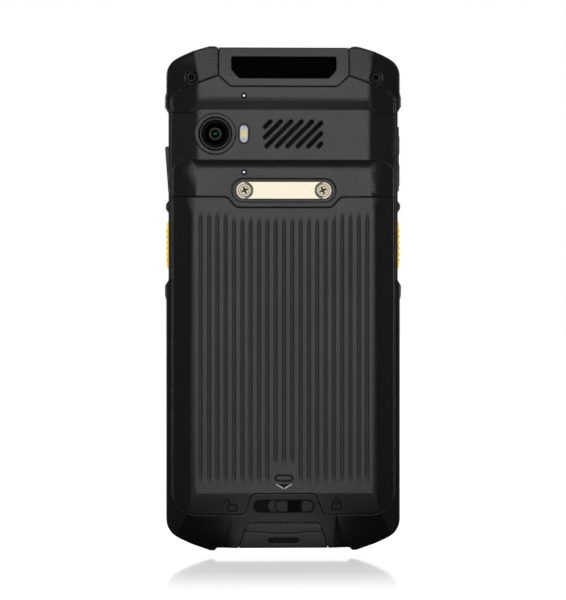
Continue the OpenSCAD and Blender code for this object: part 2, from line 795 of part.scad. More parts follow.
groove_r = (groove_w * groove_w / 4 + groove_d * groove_d) / (2 * groove_d);
groove_sink = groove_r - groove_d;
groove_half_count = floor((plateau_half - groove_edge) / groove_pitch);
groove_low = 22.6;
groove_low_mid = 28.2;
groove_fade = 2.4;

// Groove with ends that fade out, along Z
module groove(x, z0, z1) {
    translate([x, y_back - groove_sink, z0 + groove_fade])
        cylinder(r = groove_r, h = z1 - z0 - 2 * groove_fade);
    translate([x, y_back - groove_sink, z0])
        cylinder(r1 = groove_sink, r2 = groove_r, h = groove_fade);
    translate([x, y_back - groove_sink, z1 - groove_fade])
        cylinder(r1 = groove_r, r2 = groove_sink, h = groove_fade);
}

module battery_cover() color("#3a3a3c") difference() {
    union() {
        difference() {
            intersection() {
                form();
                prism_y(inset(cover_outline(), seam / 2), -body_t, cover_deep);
            }
            form(cover_wall);
        }
        cover_hooks(0);
        // Keeper rib over the latch hooks
        block([-keeper_half, y_back + cover_wall - 0.4, keeper_z],
            [keeper_half, y_back + cover_wall + 1, keeper_z + 1]);
    }
    for (k = [-groove_half_count:groove_half_count]) {
        x = k * groove_pitch;
        low = abs(x) < 1.5 * groove_pitch ? groove_low_mid : groove_low;
        high = abs(x) < strap_l / 2 + 2 ? cover_top - 6.6 : cover_top - 5;
        groove(x, low, high);
    }
    // Raised bar above the arrow mark: a ring-shaped groove round it
    difference() {
        stadium_y(0, 24.35, 6, 2.1, -body_t, y_back + 0.3);
        stadium_y(0, 24.35, 5.2, 1.3, -body_t, body_t);
    }
}

keeper_half = 8;
keeper_z = plateau_z + 1.2;

module battery_pack() color("#4a4c50") prism_y(box_outline(-battery_w / 2, battery_w / 2,
    bay_z + battery_play, bay_z + battery_play + battery_l, 2), y_back + under + battery_play,
    y_back + under + battery_play + battery_t);

// Spring contacts of the battery, in a block at the foot of the bay
module battery_contacts() color("#caa24a") {
    block([-contact_w / 2, floor_y - 0.9, bay_z - 5], [contact_w / 2, board_y - 0.1, bay_z - 0.1]);
    for (k = [-1.5:1.5]) translate([k * finger_pitch - 0.5, floor_y - 2.6, bay_z - 1.4]) cube([1, 1.8, 1.6]);
}

module bay_seal() color("#151517") difference() {
    block([-bay_half - 1.2, seal_y + 0.1, bay_z - 1.2], [bay_half + 1.2, seal_y + 1, bay_top + 1.2]);
    block([-bay_half - 0.2, -body_t, bay_z - 0.2], [bay_half + 0.2, floor_y, bay_top + 0.2]);
}

// Lock slide: the piece in the slot with its grip, the plate that carries it behind the slot,
// and two hooks on the plate that hold the cover's keeper rib
module latch_slider() color("#1a1a1c") {
    x0 = slot_l / 2 - slide_play - slide_l;
    x1 = slot_l / 2 - slide_play;
    face = foot_y(slot_z) + 0.35;
    plate_low = x0 - carrier_step;
    plate_high = x1 + 0.7;
    hook_w = 3;
    difference() {
        union() {
            stadium_y((x0 + x1) / 2, slot_z, slide_l, slot_h - 2 * slide_play, face, carrier_y + 0.1);
            stadium_y((plate_low + plate_high) / 2, slot_z, plate_high - plate_low, slot_h + 1,
                carrier_y, carrier_y + carrier_t);
            for (x = [x0, x1 - hook_w - 0.5])
                block([x, carrier_y, slot_z + 0.5], [x + hook_w, carrier_y + carrier_t, keeper_z - 0.3]);
            translate([grip_x, face - 0.1, slot_z]) cube([grip_w, 0.4, slot_h - 0.55], center = true);
        }
        for (k = [-3:3]) translate([grip_x + k * grip_pitch, face, slot_z])
            cube([grip_pitch / 2, 2 * grip_d, slot_h], center = true);
    }
}

grip_x = 3.6;
grip_w = 4.7;
grip_pitch = 0.66;
grip_d = 0.3;
// How far the plate shows beside the slide
carrier_step = 2.6;

panel_top = 6.8;
dish_r = 22;
dish_d = 0.75;
finger_z = 3.4;

module bottom_port_flap() color("#2c2c2e") difference() {
    union() {
        flap_form(seam / 2, flap_t, 0);
        flap_hooks(0);
    }
    stadium_y(0, finger_z, finger_l, finger_h, -body_t, foot_y(finger_z) + 0.9);
    // Step above the inner panel, whose upper edge dips in the middle
    difference() {
        prism_y(inset(flap_outline(flap_half, flap_z, 2), 0.6), -body_t, foot_y(flap_z) + 0.28);
        difference() {
            prism_y(flap_outline(flap_half - 0.5, panel_top, 1.6), -body_t, body_t);
            rod_y(0, panel_top + dish_r - dish_d, dish_r, -body_t, body_t);
        }
    }
}

module usb_socket() color("#b8babf") difference() {
    translate([0, usb_y, 2.8]) linear_extrude(5.6) flat_slot(8.94, 3.16);
    translate([0, usb_y, 2]) linear_extrude(5.6) flat_slot(8.34, 2.56);
}

module usb_tongue() color("#202022") block([-3.35, usb_y - 0.35, 3.4], [3.35, usb_y + 0.35, 7.6]);

module cradle_contacts() color("#d8b45a") both_sides() for (k = [0:2])
    translate([cradle_x + k * 2.2, cradle_y, 1]) cylinder(r = 0.75, h = 3.9);

// ---- Keys, side cover and what lies behind them ----

switch_x = pocket_x + 1;
side_key_x = half_w + 0.05;

// A push key of the right flank at height z, l long and w wide: its cap, and the stem behind it
module push_key(z, l, w, face_x) {
    stem = 0.3;
    low_y = key_y - w / 2;
    high_y = key_y + w / 2;
    block([switch_x + key_travel + 0.2, low_y + stem, z - l / 2 + stem],
        [face_x - 0.6, high_y - stem, z + l / 2 - stem]);
    intersection() {
        block([waist_x - 1.6, low_y, z - l / 2], [face_x, high_y, z + l / 2]);
        prism_z([[0, low_y, 0], [face_x, low_y, 0.8], [face_x, high_y, 0.8], [0, high_y, 0]], z - l, z + l);
        prism_y(key_outline(z, l, face_x), -body_t, body_t);
    }
}

function key_outline(z, l, face_x) =
    [[0, z - l / 2, 0], [face_x, z - l / 2, 1], [face_x, z + l / 2, 1], [0, z + l / 2, 0]];

rib_pitch = 1.96;
rib_r = 0.55;
rib_half = key_w / 2 - 0.8;

module scan_key() {
    face_x = half_w - 0.25;
    push_key(scan_key_z, scan_key_l, key_w, face_x);
    for (k = [-2.5:2.5])
        rod_y(face_x - 0.25, scan_key_z + k * rib_pitch, rib_r, key_y - rib_half, key_y + rib_half);
}

module scan_key_left() color("#f2b90c") mirror([1, 0, 0]) scan_key();
module scan_key_right() color("#f2b90c") scan_key();

module power_key() color("#111113") {
    push_key(power_z, power_l, side_key_w, side_key_x);
}

module volume_rocker() color("#111113") {
    push_key(volume_z, volume_l, side_key_w, side_key_x);
    rocker_pivot(0);
}

// Trunnions of the volume rocker, or with play the holes that they turn in
module rocker_pivot(play) {
    reach = side_key_w / 2 + key_play + 0.45 + play;
    rod_y(pivot_x, volume_z, 0.6 + play, key_y - reach, key_y + reach);
}

pivot_x = seam_x - 0.9;

// Switches behind the keys, each on the wall of its pocket
module side_key_switches() color("#8d8f94") {
    both_sides() switch(scan_key_z);
    switch(power_z);
    for (d = [-2.6, 2.6]) switch(volume_z + d);
}

module switch(z) {
    block([pocket_x, key_y - 1.4, z - 1.1], [switch_x - 0.3, key_y + 1.4, z + 1.1]);
    rod_x(key_y, z, 0.6, switch_x - 0.35, switch_x);
}

// Hinge pin of the side cover, or with play the hole that it turns in
module side_cover_pin(play) {
    reach = key_w / 2 + key_play + 0.6 + play;
    rod_y(waist_x - 0.55, side_cover_z - side_cover_l / 2 + 0.75, 0.4 + play, key_y - reach, key_y + reach);
}

// Wedge-shaped cover over the headset socket; its upper end stands out as a nail lip
module side_port_cover() color("#1c1c1e") mirror([1, 0, 0]) {
    low = side_cover_z - side_cover_l / 2;
    high = side_cover_z + side_cover_l / 2;
    prism_y([[waist_x - 1.3, low, 0.6], [waist_x + 0.05, low, 0.6], [waist_x + 1.2, high, 0.7],
        [waist_x - 1.3, high, 0.4]], key_y - key_w / 2, key_y + key_w / 2);
    side_cover_pin(0);
}

// Headset socket: a bored block behind the side cover
module headset_socket() color("#26262a") mirror([1, 0, 0]) difference() {
    block([pocket_x + 0.1, key_y - 2.4, side_cover_z - 3], [waist_x - 2, key_y + 2.4, side_cover_z + 3]);
    rod_x(key_y, side_cover_z, 1.8, pocket_x + 0.8, waist_x);
}

// ---- Camera, flash, speaker and microphones ----

camera_face = y_back + 0.3;

module camera_ring() color("#0a0a0b") difference() {
    rod_y(camera_x, camera_z, camera_r, camera_face, y_back + 3);
    rod_y(camera_x, camera_z, camera_r - 1.1, -body_t, camera_face + 1.2);
    rod_y(camera_x, camera_z, camera_r - 1.8, -body_t, body_t);
}

module camera_glass() color("#101318")
    rod_y(camera_x, camera_z, camera_r - 1.15, camera_face + 0.4, camera_face + 1.15);

module camera_module() color("#303236") {
    rod_y(camera_x, camera_z, camera_r - 2, camera_face + 1.9, y_back + 4);
    block([camera_x - 4.2, y_back + 3.9, camera_z - 4.2], [camera_x + 4.2, floor_y + 0.3, camera_z + 4.2]);
}

module flash_lens() color("#f4efdc") stadium_flash(0, trough_y - 0.2, trough_y + 1.4);

module flash_led() color("#e8d27a") {
    block([flash_x - 1.3, trough_y + 1.6, camera_z - 1.3], [flash_x + 1.3, trough_y + 2.2, camera_z + 1.3]);
    block([flash_x - 2, trough_y + 2.2, camera_z - 3.4], [flash_x + 2, trough_y + 2.8, camera_z + 3.4]);
}

module speaker_mesh() color("#161618")
    block([speaker_low[0] - 2, trough_y + wall + 0.05, speaker_low[1] - 1.4],
        [speaker_high[0] + 2, trough_y + wall + 0.3, speaker_high[1] + 1.4]);

module speaker_module() color("#1e1e22") {
    block([speaker_low[0] - 2, trough_y + wall + 0.6, speaker_low[1] - 1.6],
        [speaker_high[0] + 2, trough_y + wall + 4.6, speaker_high[1] + 1.6]);
    stadium_y(speaker_x, camera_z, speaker_l - 3.7, speaker_h - 0.2,
        trough_y + wall + 0.35, trough_y + wall + 0.7);
}

module microphones() color("#c9ccd2") for (z = mic_zs) rod_y(flash_x, z, 0.45, y_back + 0.9, y_back + 2);

// ---- Strap plate ----

module strap_plate() color("#f3ecdc") difference() {
    top = y_back + 0.1;
    seat = y_back + 0.9;
    union() {
        stadium_y(0, strap_z, strap_l, strap_h, seat, strap_floor_y);
        block([-strap_pitch / 2, top, strap_z - strap_h / 2],
            [strap_pitch / 2, seat + 0.1, strap_z + strap_h / 2]);
    }
    for (x = [-strap_pitch / 2, strap_pitch / 2]) {
        rod_y(x, strap_z, strap_screw_r + 0.9, -body_t, seat);
        rod_y(x, strap_z, 1.15, -body_t, body_t);
    }
}

module strap_screws() color("#e9dfc6") for (x = [-strap_pitch / 2, strap_pitch / 2]) difference() {
    union() {
        rod_y(x, strap_z, strap_screw_r, y_back + 0.15, y_back + 0.9);
        rod_y(x, strap_z, 1, y_back + 0.8, y_back + 5);
    }
    for (a = [20, 110]) translate([x, y_back + 0.3, strap_z]) rotate([0, a, 0])
        cube([2, 0.8, 0.5], center = true);
}

module strap_inserts() color("#c79a45") for (x = [-strap_pitch / 2, strap_pitch / 2]) difference() {
    rod_y(x, strap_z, 2, strap_floor_y + 0.1, y_back + 5.8);
    rod_y(x, strap_z, 1.05, -body_t, y_back + 5.3);
}

module housing_screws() color("#55575c") at_housing_screws() difference() {
    union() {
        rod_y(0, 0, screw_head_r, screw_seat_y - 1.1, screw_seat_y);
        rod_y(0, 0, screw_r - 0.1, screw_seat_y - 0.1, panel_y - 1.6);
    }
    for (a = [0, 90]) translate([0, screw_seat_y - 1.1, 0]) rotate([0, a, 0])
        cube([2.2, 1, 0.5], center = true);
}

// ---- Display side ----

module display_glass() color("#08090b") difference() {
    prism_y(box_outline(-glass_w / 2, glass_w / 2, glass_mid_z - glass_l / 2, glass_mid_z + glass_l / 2, 3.9),
        glass_y, glass_y + glass_t);
    stadium_y(0, front_camera_z, receiver_l, receiver_h, 0, body_t);
}

module display_panel() color("#0d0f14") block([-panel_w / 2, panel_y, glass_mid_z - panel_l / 2],
    [panel_w / 2, panel_y + panel_t, glass_mid_z + panel_l / 2]);

module receiver_mesh() color("#2a2b2e")
    stadium_y(0, front_camera_z, receiver_l - 0.2, receiver_h - 0.2, glass_y - 0.2, glass_y + glass_t - 0.3);

module receiver() color("#404248") block([-receiver_l / 2, panel_y - 1.8, front_camera_z - 1],
    [receiver_l / 2, glass_y - 0.3, front_camera_z + 1]);

module front_camera() color("#15171c") {
    rod_y(front_camera_x, front_camera_z, front_camera_r, panel_y - 1.5, glass_y - 0.2);
}

// ---- Electronics ----

board_half = seam_x - 4.3;
board_low = cover_z + 7.4;
board_high = cap_z - 6;

module main_board() color("#1d5c3c") difference() {
    block([-board_half, board_y, board_low], [board_half, board_y + board_t, board_high]);
    at_housing_screws() rod_y(0, 0, 3, -body_t, body_t);
    block([-9, -body_t, board_low - 1], [9, body_t, board_low + 3]);
}

// Each can as its left, right, lower and upper edge; the heights count from the board's lower edge
cans = [[-24, 2, 24.4, 58.4], [6, 25, 30.4, 54.4], [-20, 10, 64.4, 84.4]];
can_t = 1.4;

module shield_cans() color("#b4b7bc") for (can = cans)
    block([can[0], board_y + board_t, board_low + can[2]],
        [can[1], board_y + board_t + can_t, board_low + can[3]]);

module vibration_motor() color("#a9acb1") translate([board_half - 10.8, board_y + board_t, board_high - 12])
    rotate([-90, 0, 0]) cylinder(r = 4, h = 1.6);

module sim_socket() color("#9ea1a6")
    block([sim_x - sim_w / 2, floor_y, sim_z - sim_h / 2],
        [sim_x + sim_w / 2, board_y - 0.1, sim_z + sim_h / 2]);

rear_housing();
front_housing();
lower_guard();
top_left_guard();
top_right_guard();
left_rail();
right_rail();
scan_head_cap();
nameplate();
scan_window();
scan_engine();
guard_screws();
battery_cover();
battery_pack();
battery_contacts();
bay_seal();
latch_slider();
bottom_port_flap();
usb_socket();
usb_tongue();
cradle_contacts();
scan_key_left();
scan_key_right();
key_bezel();
power_key();
volume_rocker();
side_key_switches();
side_port_cover();
headset_socket();
camera_ring();
camera_glass();
camera_module();
flash_lens();
flash_led();
speaker_mesh();
speaker_module();
microphones();
strap_plate();
strap_screws();
strap_inserts();
housing_screws();
display_glass();
display_panel();
receiver_mesh();
receiver();
front_camera();
main_board();
shield_cans();
vibration_motor();
sim_socket();
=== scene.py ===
"""Looks of the portable data terminal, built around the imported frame. Units are metres."""
import math

import bmesh
import bpy
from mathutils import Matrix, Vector


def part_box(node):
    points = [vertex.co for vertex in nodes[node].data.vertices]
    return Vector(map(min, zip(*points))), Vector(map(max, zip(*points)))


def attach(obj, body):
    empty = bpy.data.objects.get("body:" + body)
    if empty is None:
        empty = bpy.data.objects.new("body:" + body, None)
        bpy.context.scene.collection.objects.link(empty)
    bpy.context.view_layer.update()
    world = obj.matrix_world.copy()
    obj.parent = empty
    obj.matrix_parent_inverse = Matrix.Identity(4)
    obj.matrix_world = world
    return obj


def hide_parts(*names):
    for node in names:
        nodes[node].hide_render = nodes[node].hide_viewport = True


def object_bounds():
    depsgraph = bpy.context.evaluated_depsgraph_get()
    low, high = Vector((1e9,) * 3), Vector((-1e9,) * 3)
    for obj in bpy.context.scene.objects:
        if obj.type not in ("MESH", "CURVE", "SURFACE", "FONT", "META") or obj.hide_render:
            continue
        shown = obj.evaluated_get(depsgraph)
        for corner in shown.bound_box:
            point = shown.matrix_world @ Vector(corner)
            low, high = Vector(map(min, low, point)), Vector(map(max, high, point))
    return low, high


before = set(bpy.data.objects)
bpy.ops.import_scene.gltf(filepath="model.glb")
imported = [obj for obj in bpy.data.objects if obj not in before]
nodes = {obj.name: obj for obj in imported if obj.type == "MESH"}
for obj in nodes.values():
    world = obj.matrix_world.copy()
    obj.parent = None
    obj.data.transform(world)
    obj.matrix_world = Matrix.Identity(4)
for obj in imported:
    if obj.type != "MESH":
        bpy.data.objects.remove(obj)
cad_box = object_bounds()

# ---- View ----
# A long lens looks level at the back of the standing terminal, from a touch to its left. The
# view is 566 by 600 pixels, and the terminal stands on FOOT_ROW of it, round CENTRE_COLUMN.
PIXELS_PER_METRE = 3010
VIEW_WIDTH = 566
VIEW_HEIGHT = 600
CENTRE_COLUMN = 284
FOOT_ROW = 551.5
LENS_DISTANCE = 1.0
SENSOR_HEIGHT = 24
TURN = math.radians(2.4)

camera = bpy.data.objects.new("camera", bpy.data.cameras.new("camera"))
bpy.context.scene.collection.objects.link(camera)
camera.data.sensor_fit = "VERTICAL"
camera.data.sensor_height = SENSOR_HEIGHT
camera.data.lens = SENSOR_HEIGHT * LENS_DISTANCE * PIXELS_PER_METRE / VIEW_HEIGHT
camera.data.clip_end = 20
eye_height = (FOOT_ROW - VIEW_HEIGHT / 2) / PIXELS_PER_METRE
sideways = (VIEW_WIDTH / 2 - CENTRE_COLUMN) / PIXELS_PER_METRE
ahead = Vector((math.sin(TURN), math.cos(TURN), 0))
to_right = Vector((math.cos(TURN), -math.sin(TURN), 0))
plateau_middle = Vector((0, cad_box[0][1], eye_height))
camera.location = plateau_middle - ahead * LENS_DISTANCE + to_right * sideways
camera.rotation_euler = (math.radians(90), 0, -TURN)
bpy.context.scene.camera = camera
bpy.context.scene.view_settings.view_transform = "Standard"


# ---- Studio ----
# A white backdrop behind the terminal, a soft box in front of it, and dim walls and a pale
# polished floor round it, so that the black plastic keeps its shades.
class Wire:
    """A socket of a tree, so that patterns are written as sums and products."""

    def __init__(self, tree, socket):
        self.tree = tree
        self.socket = socket

    def math(self, operation, *others):
        inputs = dict(enumerate((self,) + others))
        return self.tree.node("ShaderNodeMath", {"operation": operation}, inputs)

    def __add__(self, other):
        return self.math("ADD", other)

    def __mul__(self, other):
        return self.math("MULTIPLY", other)

    def __sub__(self, other):
        return self.math("SUBTRACT", other)

    def __truediv__(self, other):
        return self.math("DIVIDE", other)

    def __rsub__(self, other):
        return self.tree.node("ShaderNodeMath", {"operation": "SUBTRACT"}, {0: other, 1: self})

    __radd__ = __add__
    __rmul__ = __mul__

    def __abs__(self):
        return self.math("ABSOLUTE")

    def most(self, *others):
        """The greatest of this value and the others."""
        most = self
        for other in others:
            most = most.math("MAXIMUM", other)
        return most

    def hypot(self, other):
        """How long a way is that goes this far one way and the other's value across."""
        return (self * self + other * other).math("SQRT")

    def above(self, edge, blur):
        """0 below the edge and 1 above it, with a soft step of that width."""
        return self.tree.node(
            "ShaderNodeMapRange",
            {"interpolation_type": "SMOOTHSTEP"},
            {"Value": self, "From Min": edge - blur / 2, "From Max": edge + blur / 2},
        )

    def below(self, edge, blur):
        return 1 - self.above(edge, blur)

    def near(self, middle, reach, blur):
        """1 within reach of the middle and 0 outside it, with soft steps."""
        return abs(self - middle).below(reach, blur)


class Tree:
    """A tree of nodes that is written node by node."""

    def __init__(self, node_tree):
        self.node_tree = node_tree

    def node(self, kind, settings=None, inputs=None, out=0):
        node = self.node_tree.nodes.new(kind)
        for key, value in (settings or {}).items():
            if key == "stops":
                ramp = node.color_ramp.elements
                while len(ramp) < len(value):
                    ramp.new(1)
                for element, (position, tone) in zip(ramp, value):
                    element.position = position
                    element.color = (*tone, 1)
            else:
                setattr(node, key, value)
        for key, value in (inputs or {}).items():
            socket = node.inputs[key]
            if isinstance(value, Wire):
                self.node_tree.links.new(value.socket, socket)
            else:
                socket.default_value = value
        return Wire(self, node.outputs[out]) if node.outputs else None

    def vector(self, operation, inputs, out=0):
        return self.node("ShaderNodeVectorMath", {"operation": operation}, inputs, out)

    def place(self):
        return self.node("ShaderNodeTexCoord", out="Object")

    def axes(self, place=None):
        """The three coordinates of a place."""
        split = self.node("ShaderNodeSeparateXYZ", None, {0: place or self.place()})
        return [Wire(self, split.socket.node.outputs[axis]) for axis in "XYZ"]

    def grain(self, size, detail=2.0, rough=0.5, place=None):
        """Noise whose spots are about that size, around 0.5."""
        inputs = {"Vector": place or self.place(), "Scale": 1 / size}
        inputs |= {"Detail": detail, "Roughness": rough}
        return self.node("ShaderNodeTexNoise", None, inputs, "Fac")

    def stretch(self, x, y, z):
        """Object coordinates scaled along each axis, for brushed and drawn surfaces."""
        return self.node("ShaderNodeMapping", None, {"Vector": self.place(), "Scale": (x, y, z)})

    def mix(self, factor, low, high):
        low = low if isinstance(low, Wire) else (*low, 1)
        high = high if isinstance(high, Wire) else (*high, 1)
        inputs = {"Factor": factor, "A": low, "B": high}
        return self.node("ShaderNodeMix", {"data_type": "RGBA"}, inputs, "Result")

    def bump(self, height, strength, distance, normal=None):
        inputs = {"Height": height, "Strength": strength, "Distance": distance}
        return self.node("ShaderNodeBump", None, inputs | ({"Normal": normal} if normal else {}))


class Finish(Tree):
    """A material with one Principled shader."""

    RAYS = 6

    def __init__(self, name):
        self.material = bpy.data.materials.new(name)
        self.material.use_nodes = True
        super().__init__(self.material.node_tree)
        self.shader = self.node_tree.nodes["Principled BSDF"]

    def openness(self, distance):
        """1 in the open, and less where something else is within that distance."""
        settings = {"samples": self.RAYS}
        return self.node("ShaderNodeAmbientOcclusion", settings, {"Distance": distance}, "AO")

    def rounded(self, radius):
        """Which way the surface would face with its edges rounded by that radius."""
        return self.node("ShaderNodeBevel", {"samples": self.RAYS}, {"Radius": radius})

    def around(self, middle):
        """How far a place lies to the right of and above a middle, given in millimetres."""
        x, y, z = self.axes()
        return x - middle[0] / 1000, z - middle[1] / 1000

    def surface(self, **values):
        for key, value in values.items():
            socket = self.shader.inputs[key.replace("_", " ")]
            if isinstance(value, Wire):
                self.node_tree.links.new(value.socket, socket)
            else:
                socket.default_value = (*value, 1) if isinstance(value, tuple) else value
        return self.material


BLACK = (0, 0, 0)
WHITE = (1, 1, 1)


def studio_world(front, sides, uneven, ceiling, backdrop):
    """White to the camera. To the terminal it is dim in front, paler at the sides, where the
    left wall is brighter by uneven, faintly lit from above and brightest behind."""
    world = bpy.data.worlds.new("studio")
    bpy.context.scene.world = world
    world.use_nodes = True
    world.node_tree.nodes.clear()
    tree = Tree(world.node_tree)
    path = tree.node("ShaderNodeLightPath").socket.node.outputs
    seen = Wire(tree, path["Is Camera Ray"]).most(Wire(tree, path["Is Transmission Ray"]))
    across, forward, up = tree.axes(tree.node("ShaderNodeTexCoord", out="Generated"))
    behind = forward.above(0.28, 0.5) * backdrop
    overhead = up.above(0.6, 0.8) * ceiling
    walls = abs(across).above(0.62, 0.7) * (sides - across * uneven) + front
    light = tree.mix(seen.most(behind.most(walls + overhead)), BLACK, WHITE)
    back = tree.node("ShaderNodeBackground", None, {"Color": light})
    tree.node("ShaderNodeOutputWorld", None, {"Surface": back})


def softbox(name, place, aim, size, radiance):
    watts_per_area = 4
    light = bpy.data.objects.new(name, bpy.data.lights.new(name, "AREA"))
    bpy.context.scene.collection.objects.link(light)
    light.data.shape = "RECTANGLE"
    light.data.size, light.data.size_y = size
    light.data.energy = watts_per_area * radiance * size[0] * size[1]
    light.location = place
    light.rotation_euler = (Vector(aim) - Vector(place)).to_track_quat("-Z", "Y").to_euler()
    light.visible_camera = False


def floor_plane(size, drop, tone, glow, mirror, bounce):
    """A polished pale floor, a drop below the foot. It holds the shadow and a reflection near
    the terminal that fades in front of it. What it sends up to the terminal comes in strips
    across the floor, given as a distance in front and a share of bounce."""
    strip_reach = 0.2
    strips = ((0.01, 0), (0.02, 0.68), (0.028, 0.55), (0.038, 0.38), (0.056, 0.38), (0.1, 0.6),
        (0.144, 1))
    strip_half_width = 0.0175
    strip_spread = 0.014
    behind_bounce = 0.2
    half_width = 0.044
    far_off = 0.45
    fade_start = 0.0615
    fade_end = 0.15
    mirror_end = 0.128
    mirror_tint = 1.12
    mesh = bpy.data.meshes.new("floor")
    sides = ((-size, -size), (size, -size), (size, size), (-size, size))
    corners = [(x, y, -drop) for x, y in sides]
    mesh.from_pydata(corners, [], [(0, 1, 2, 3)])
    floor = bpy.data.objects.new("floor", mesh)
    bpy.context.scene.collection.objects.link(floor)
    finish = Finish("floor_white")
    path = finish.node("ShaderNodeLightPath").socket.node.outputs
    seen = Wire(finish, path["Is Camera Ray"])
    across, behind, _ = finish.axes()
    aside = abs(across)
    before = 0 - behind
    far = finish.vector("LENGTH", {0: finish.place()}, "Value").above(far_off, far_off)
    stops = [(place / strip_reach, (share,) * 3) for place, share in strips]
    strip = finish.node("ShaderNodeValToRGB", {"stops": stops}, {0: before / strip_reach})
    spread = aside - before.above(0.1, 0.05) * strip_spread
    unseen = strip * spread.below(strip_half_width, 0.008) * bounce
    unseen = unseen + behind.above(0.05, 0.04) * behind_bounce
    light = seen * (glow + (1 - glow) * far) + (1 - seen) * unseen
    finish.surface(
        Base_Color=finish.mix(seen, BLACK, (tone,) * 3),
        Roughness=0.7,
        Emission_Color=finish.mix(light, BLACK, WHITE),
        Emission_Strength=1.0,
        Specular_IOR_Level=0.0,
    )
    tint = {"Color": (mirror_tint, mirror_tint, mirror_tint, 1), "Roughness": 0.07}
    gloss = finish.node("ShaderNodeBsdfGlossy", None, tint)
    fading = ((fade_end - before) / (fade_end - fade_start)).math("MINIMUM", 1.0)
    fading = fading * before.below(mirror_end, 0.012) * before.above(-0.02, 0.05)
    factor = seen * fading * aside.below(half_width, 0.01) * mirror
    plain = Wire(finish, finish.shader.outputs[0])
    both = finish.node("ShaderNodeMixShader", None, {0: factor, 1: plain, 2: gloss})
    output = finish.node_tree.nodes["Material Output"]
    finish.node_tree.links.new(both.socket, output.inputs["Surface"])
    mesh.materials.append(finish.material)


studio_world(front=0.03, sides=0.156, uneven=0.02, ceiling=0.06, backdrop=0.9)
softbox("front_softbox", place=(0, -1.95, 0.40), aim=(0, 0, 0.3), size=(2.1, 0.8), radiance=2.2)
softbox("top_softbox", place=(0, 0.55, 1.18), aim=(0, 0, 0), size=(0.7, 0.45), radiance=6.0)
softbox("left_softbox", place=(-1.3, 0.7, 0.25), aim=(0, 0, 0.09), size=(0.5, 0.8), radiance=5.0)
softbox("right_softbox", place=(1.3, 0.7, 0.25), aim=(0, 0, 0.09), size=(0.5, 0.8), radiance=4.0)
floor_plane(size=6, drop=0.0019, tone=0.32, glow=0.92, mirror=0.39, bounce=1.3)


# ---- Casing shells ----
# The back and front shells are moulded in black glass-filled polycarbonate with a fine
# spark-eroded grain, and screwed together from inside the battery bay.
def shade(tone, share):
    """A tone made darker or paler."""
    return tuple(part * share for part in tone)


def moulded_plastic(name, tone, rough, grain_size, depth, wear=0.1, marks=None,
        round_edge=0.0004, gap_shade=1.0, level=0.5, soft_field=None, glow=0.0):
    """Spark-eroded plastic. round_edge is the radius that its edges are moulded with, wear how
    pale they are rubbed and painted lit, gap_shade how much painted shade darkens and dulls its
    corners and gaps, level how strongly it mirrors and glow how much painted light it gives off.
    marks adds sunk places, places of painted shade and pale places. soft_field is the share by
    which grooves in the back are laid flat, and how dull their valleys are."""
    contrast = 0.45
    broad_size = 0.016
    gap_width = 0.0009
    shade_black = (0.001, 0.001, 0.001)
    pale_print_and_highlight = (0.55, 0.55, 0.56)
    sunk_depth = 0.0003
    finish = Finish(name)
    fine = finish.grain(grain_size, 3.0, 0.6)
    mottle = finish.grain(grain_size * 1.5, 1.0, 0.5)
    broad = finish.grain(broad_size, 2.0, 0.5)
    edge = finish.rounded(round_edge)
    flat = finish.node("ShaderNodeNewGeometry", out="Normal")
    lean = 1 - finish.vector("DOT_PRODUCT", {0: edge, 1: flat}, "Value")
    # Painted shade: corners and gaps are darkened where something else is close by.
    gap = finish.openness(gap_width).below(0.48, 0.45) * gap_shade
    if soft_field:
        soft, valley = soft_field(finish)
        steep = finish.vector("SCALE", {0: edge, "Scale": 1 - soft})
        level_back = finish.node("ShaderNodeCombineXYZ", None, {"Y": 0 - soft})
        to_world = {"vector_type": "VECTOR", "convert_from": "OBJECT", "convert_to": "WORLD"}
        level_back = finish.node("ShaderNodeVectorTransform", to_world, {0: level_back})
        edge = finish.vector("ADD", {0: steep, 1: level_back})
        gap = gap * (1 - soft)
        lean = lean * (1 - soft)
        rough = valley + rough
    skin = finish.mix(fine + mottle - 0.5, shade(tone, 1 - contrast), shade(tone, 1 + contrast))
    if wear:
        # Pale rubbed edges, partly real wear and partly a painted highlight along edges and below
        # seams.
        rubbed_and_lit = lean.above(0.07, 0.1) * (1 - gap) * mottle.above(0.5, 0.25)
        skin = finish.mix(rubbed_and_lit, skin, (wear, wear, wear))
    sunk, dark, pale = marks(finish) if marks else (0.0, 0.0, 0.0)
    # Painted shade: gaps and the marks' dark places are coloured near black.
    dull = gap.most(dark)
    colour = finish.mix(dull, skin, shade_black)
    # Pale marks: the chevron sign, and the painted highlight on the flap's lip.
    if isinstance(pale, Wire):
        colour = finish.mix(pale, colour, pale_print_and_highlight)
    relief = finish.bump(fine + mottle, 1.0, depth, edge)
    if isinstance(sunk, Wire):
        relief = finish.bump(1 - sunk, 1.0, sunk_depth, relief)
    uneven = (broad - 0.5) * 0.08 + (mottle - 0.5) * 0.16 + (fine - 0.5) * 0.12
    # Painted light: with glow the part gives off light, though it is no lamp.
    if glow:
        finish.surface(Emission_Color=colour, Emission_Strength=glow)
    return finish.surface(
        Base_Color=colour,
        Roughness=(uneven + rough + dull * 0.6).math("MINIMUM", 1.0),
        Specular_IOR_Level=level,
        Normal=relief,
    )


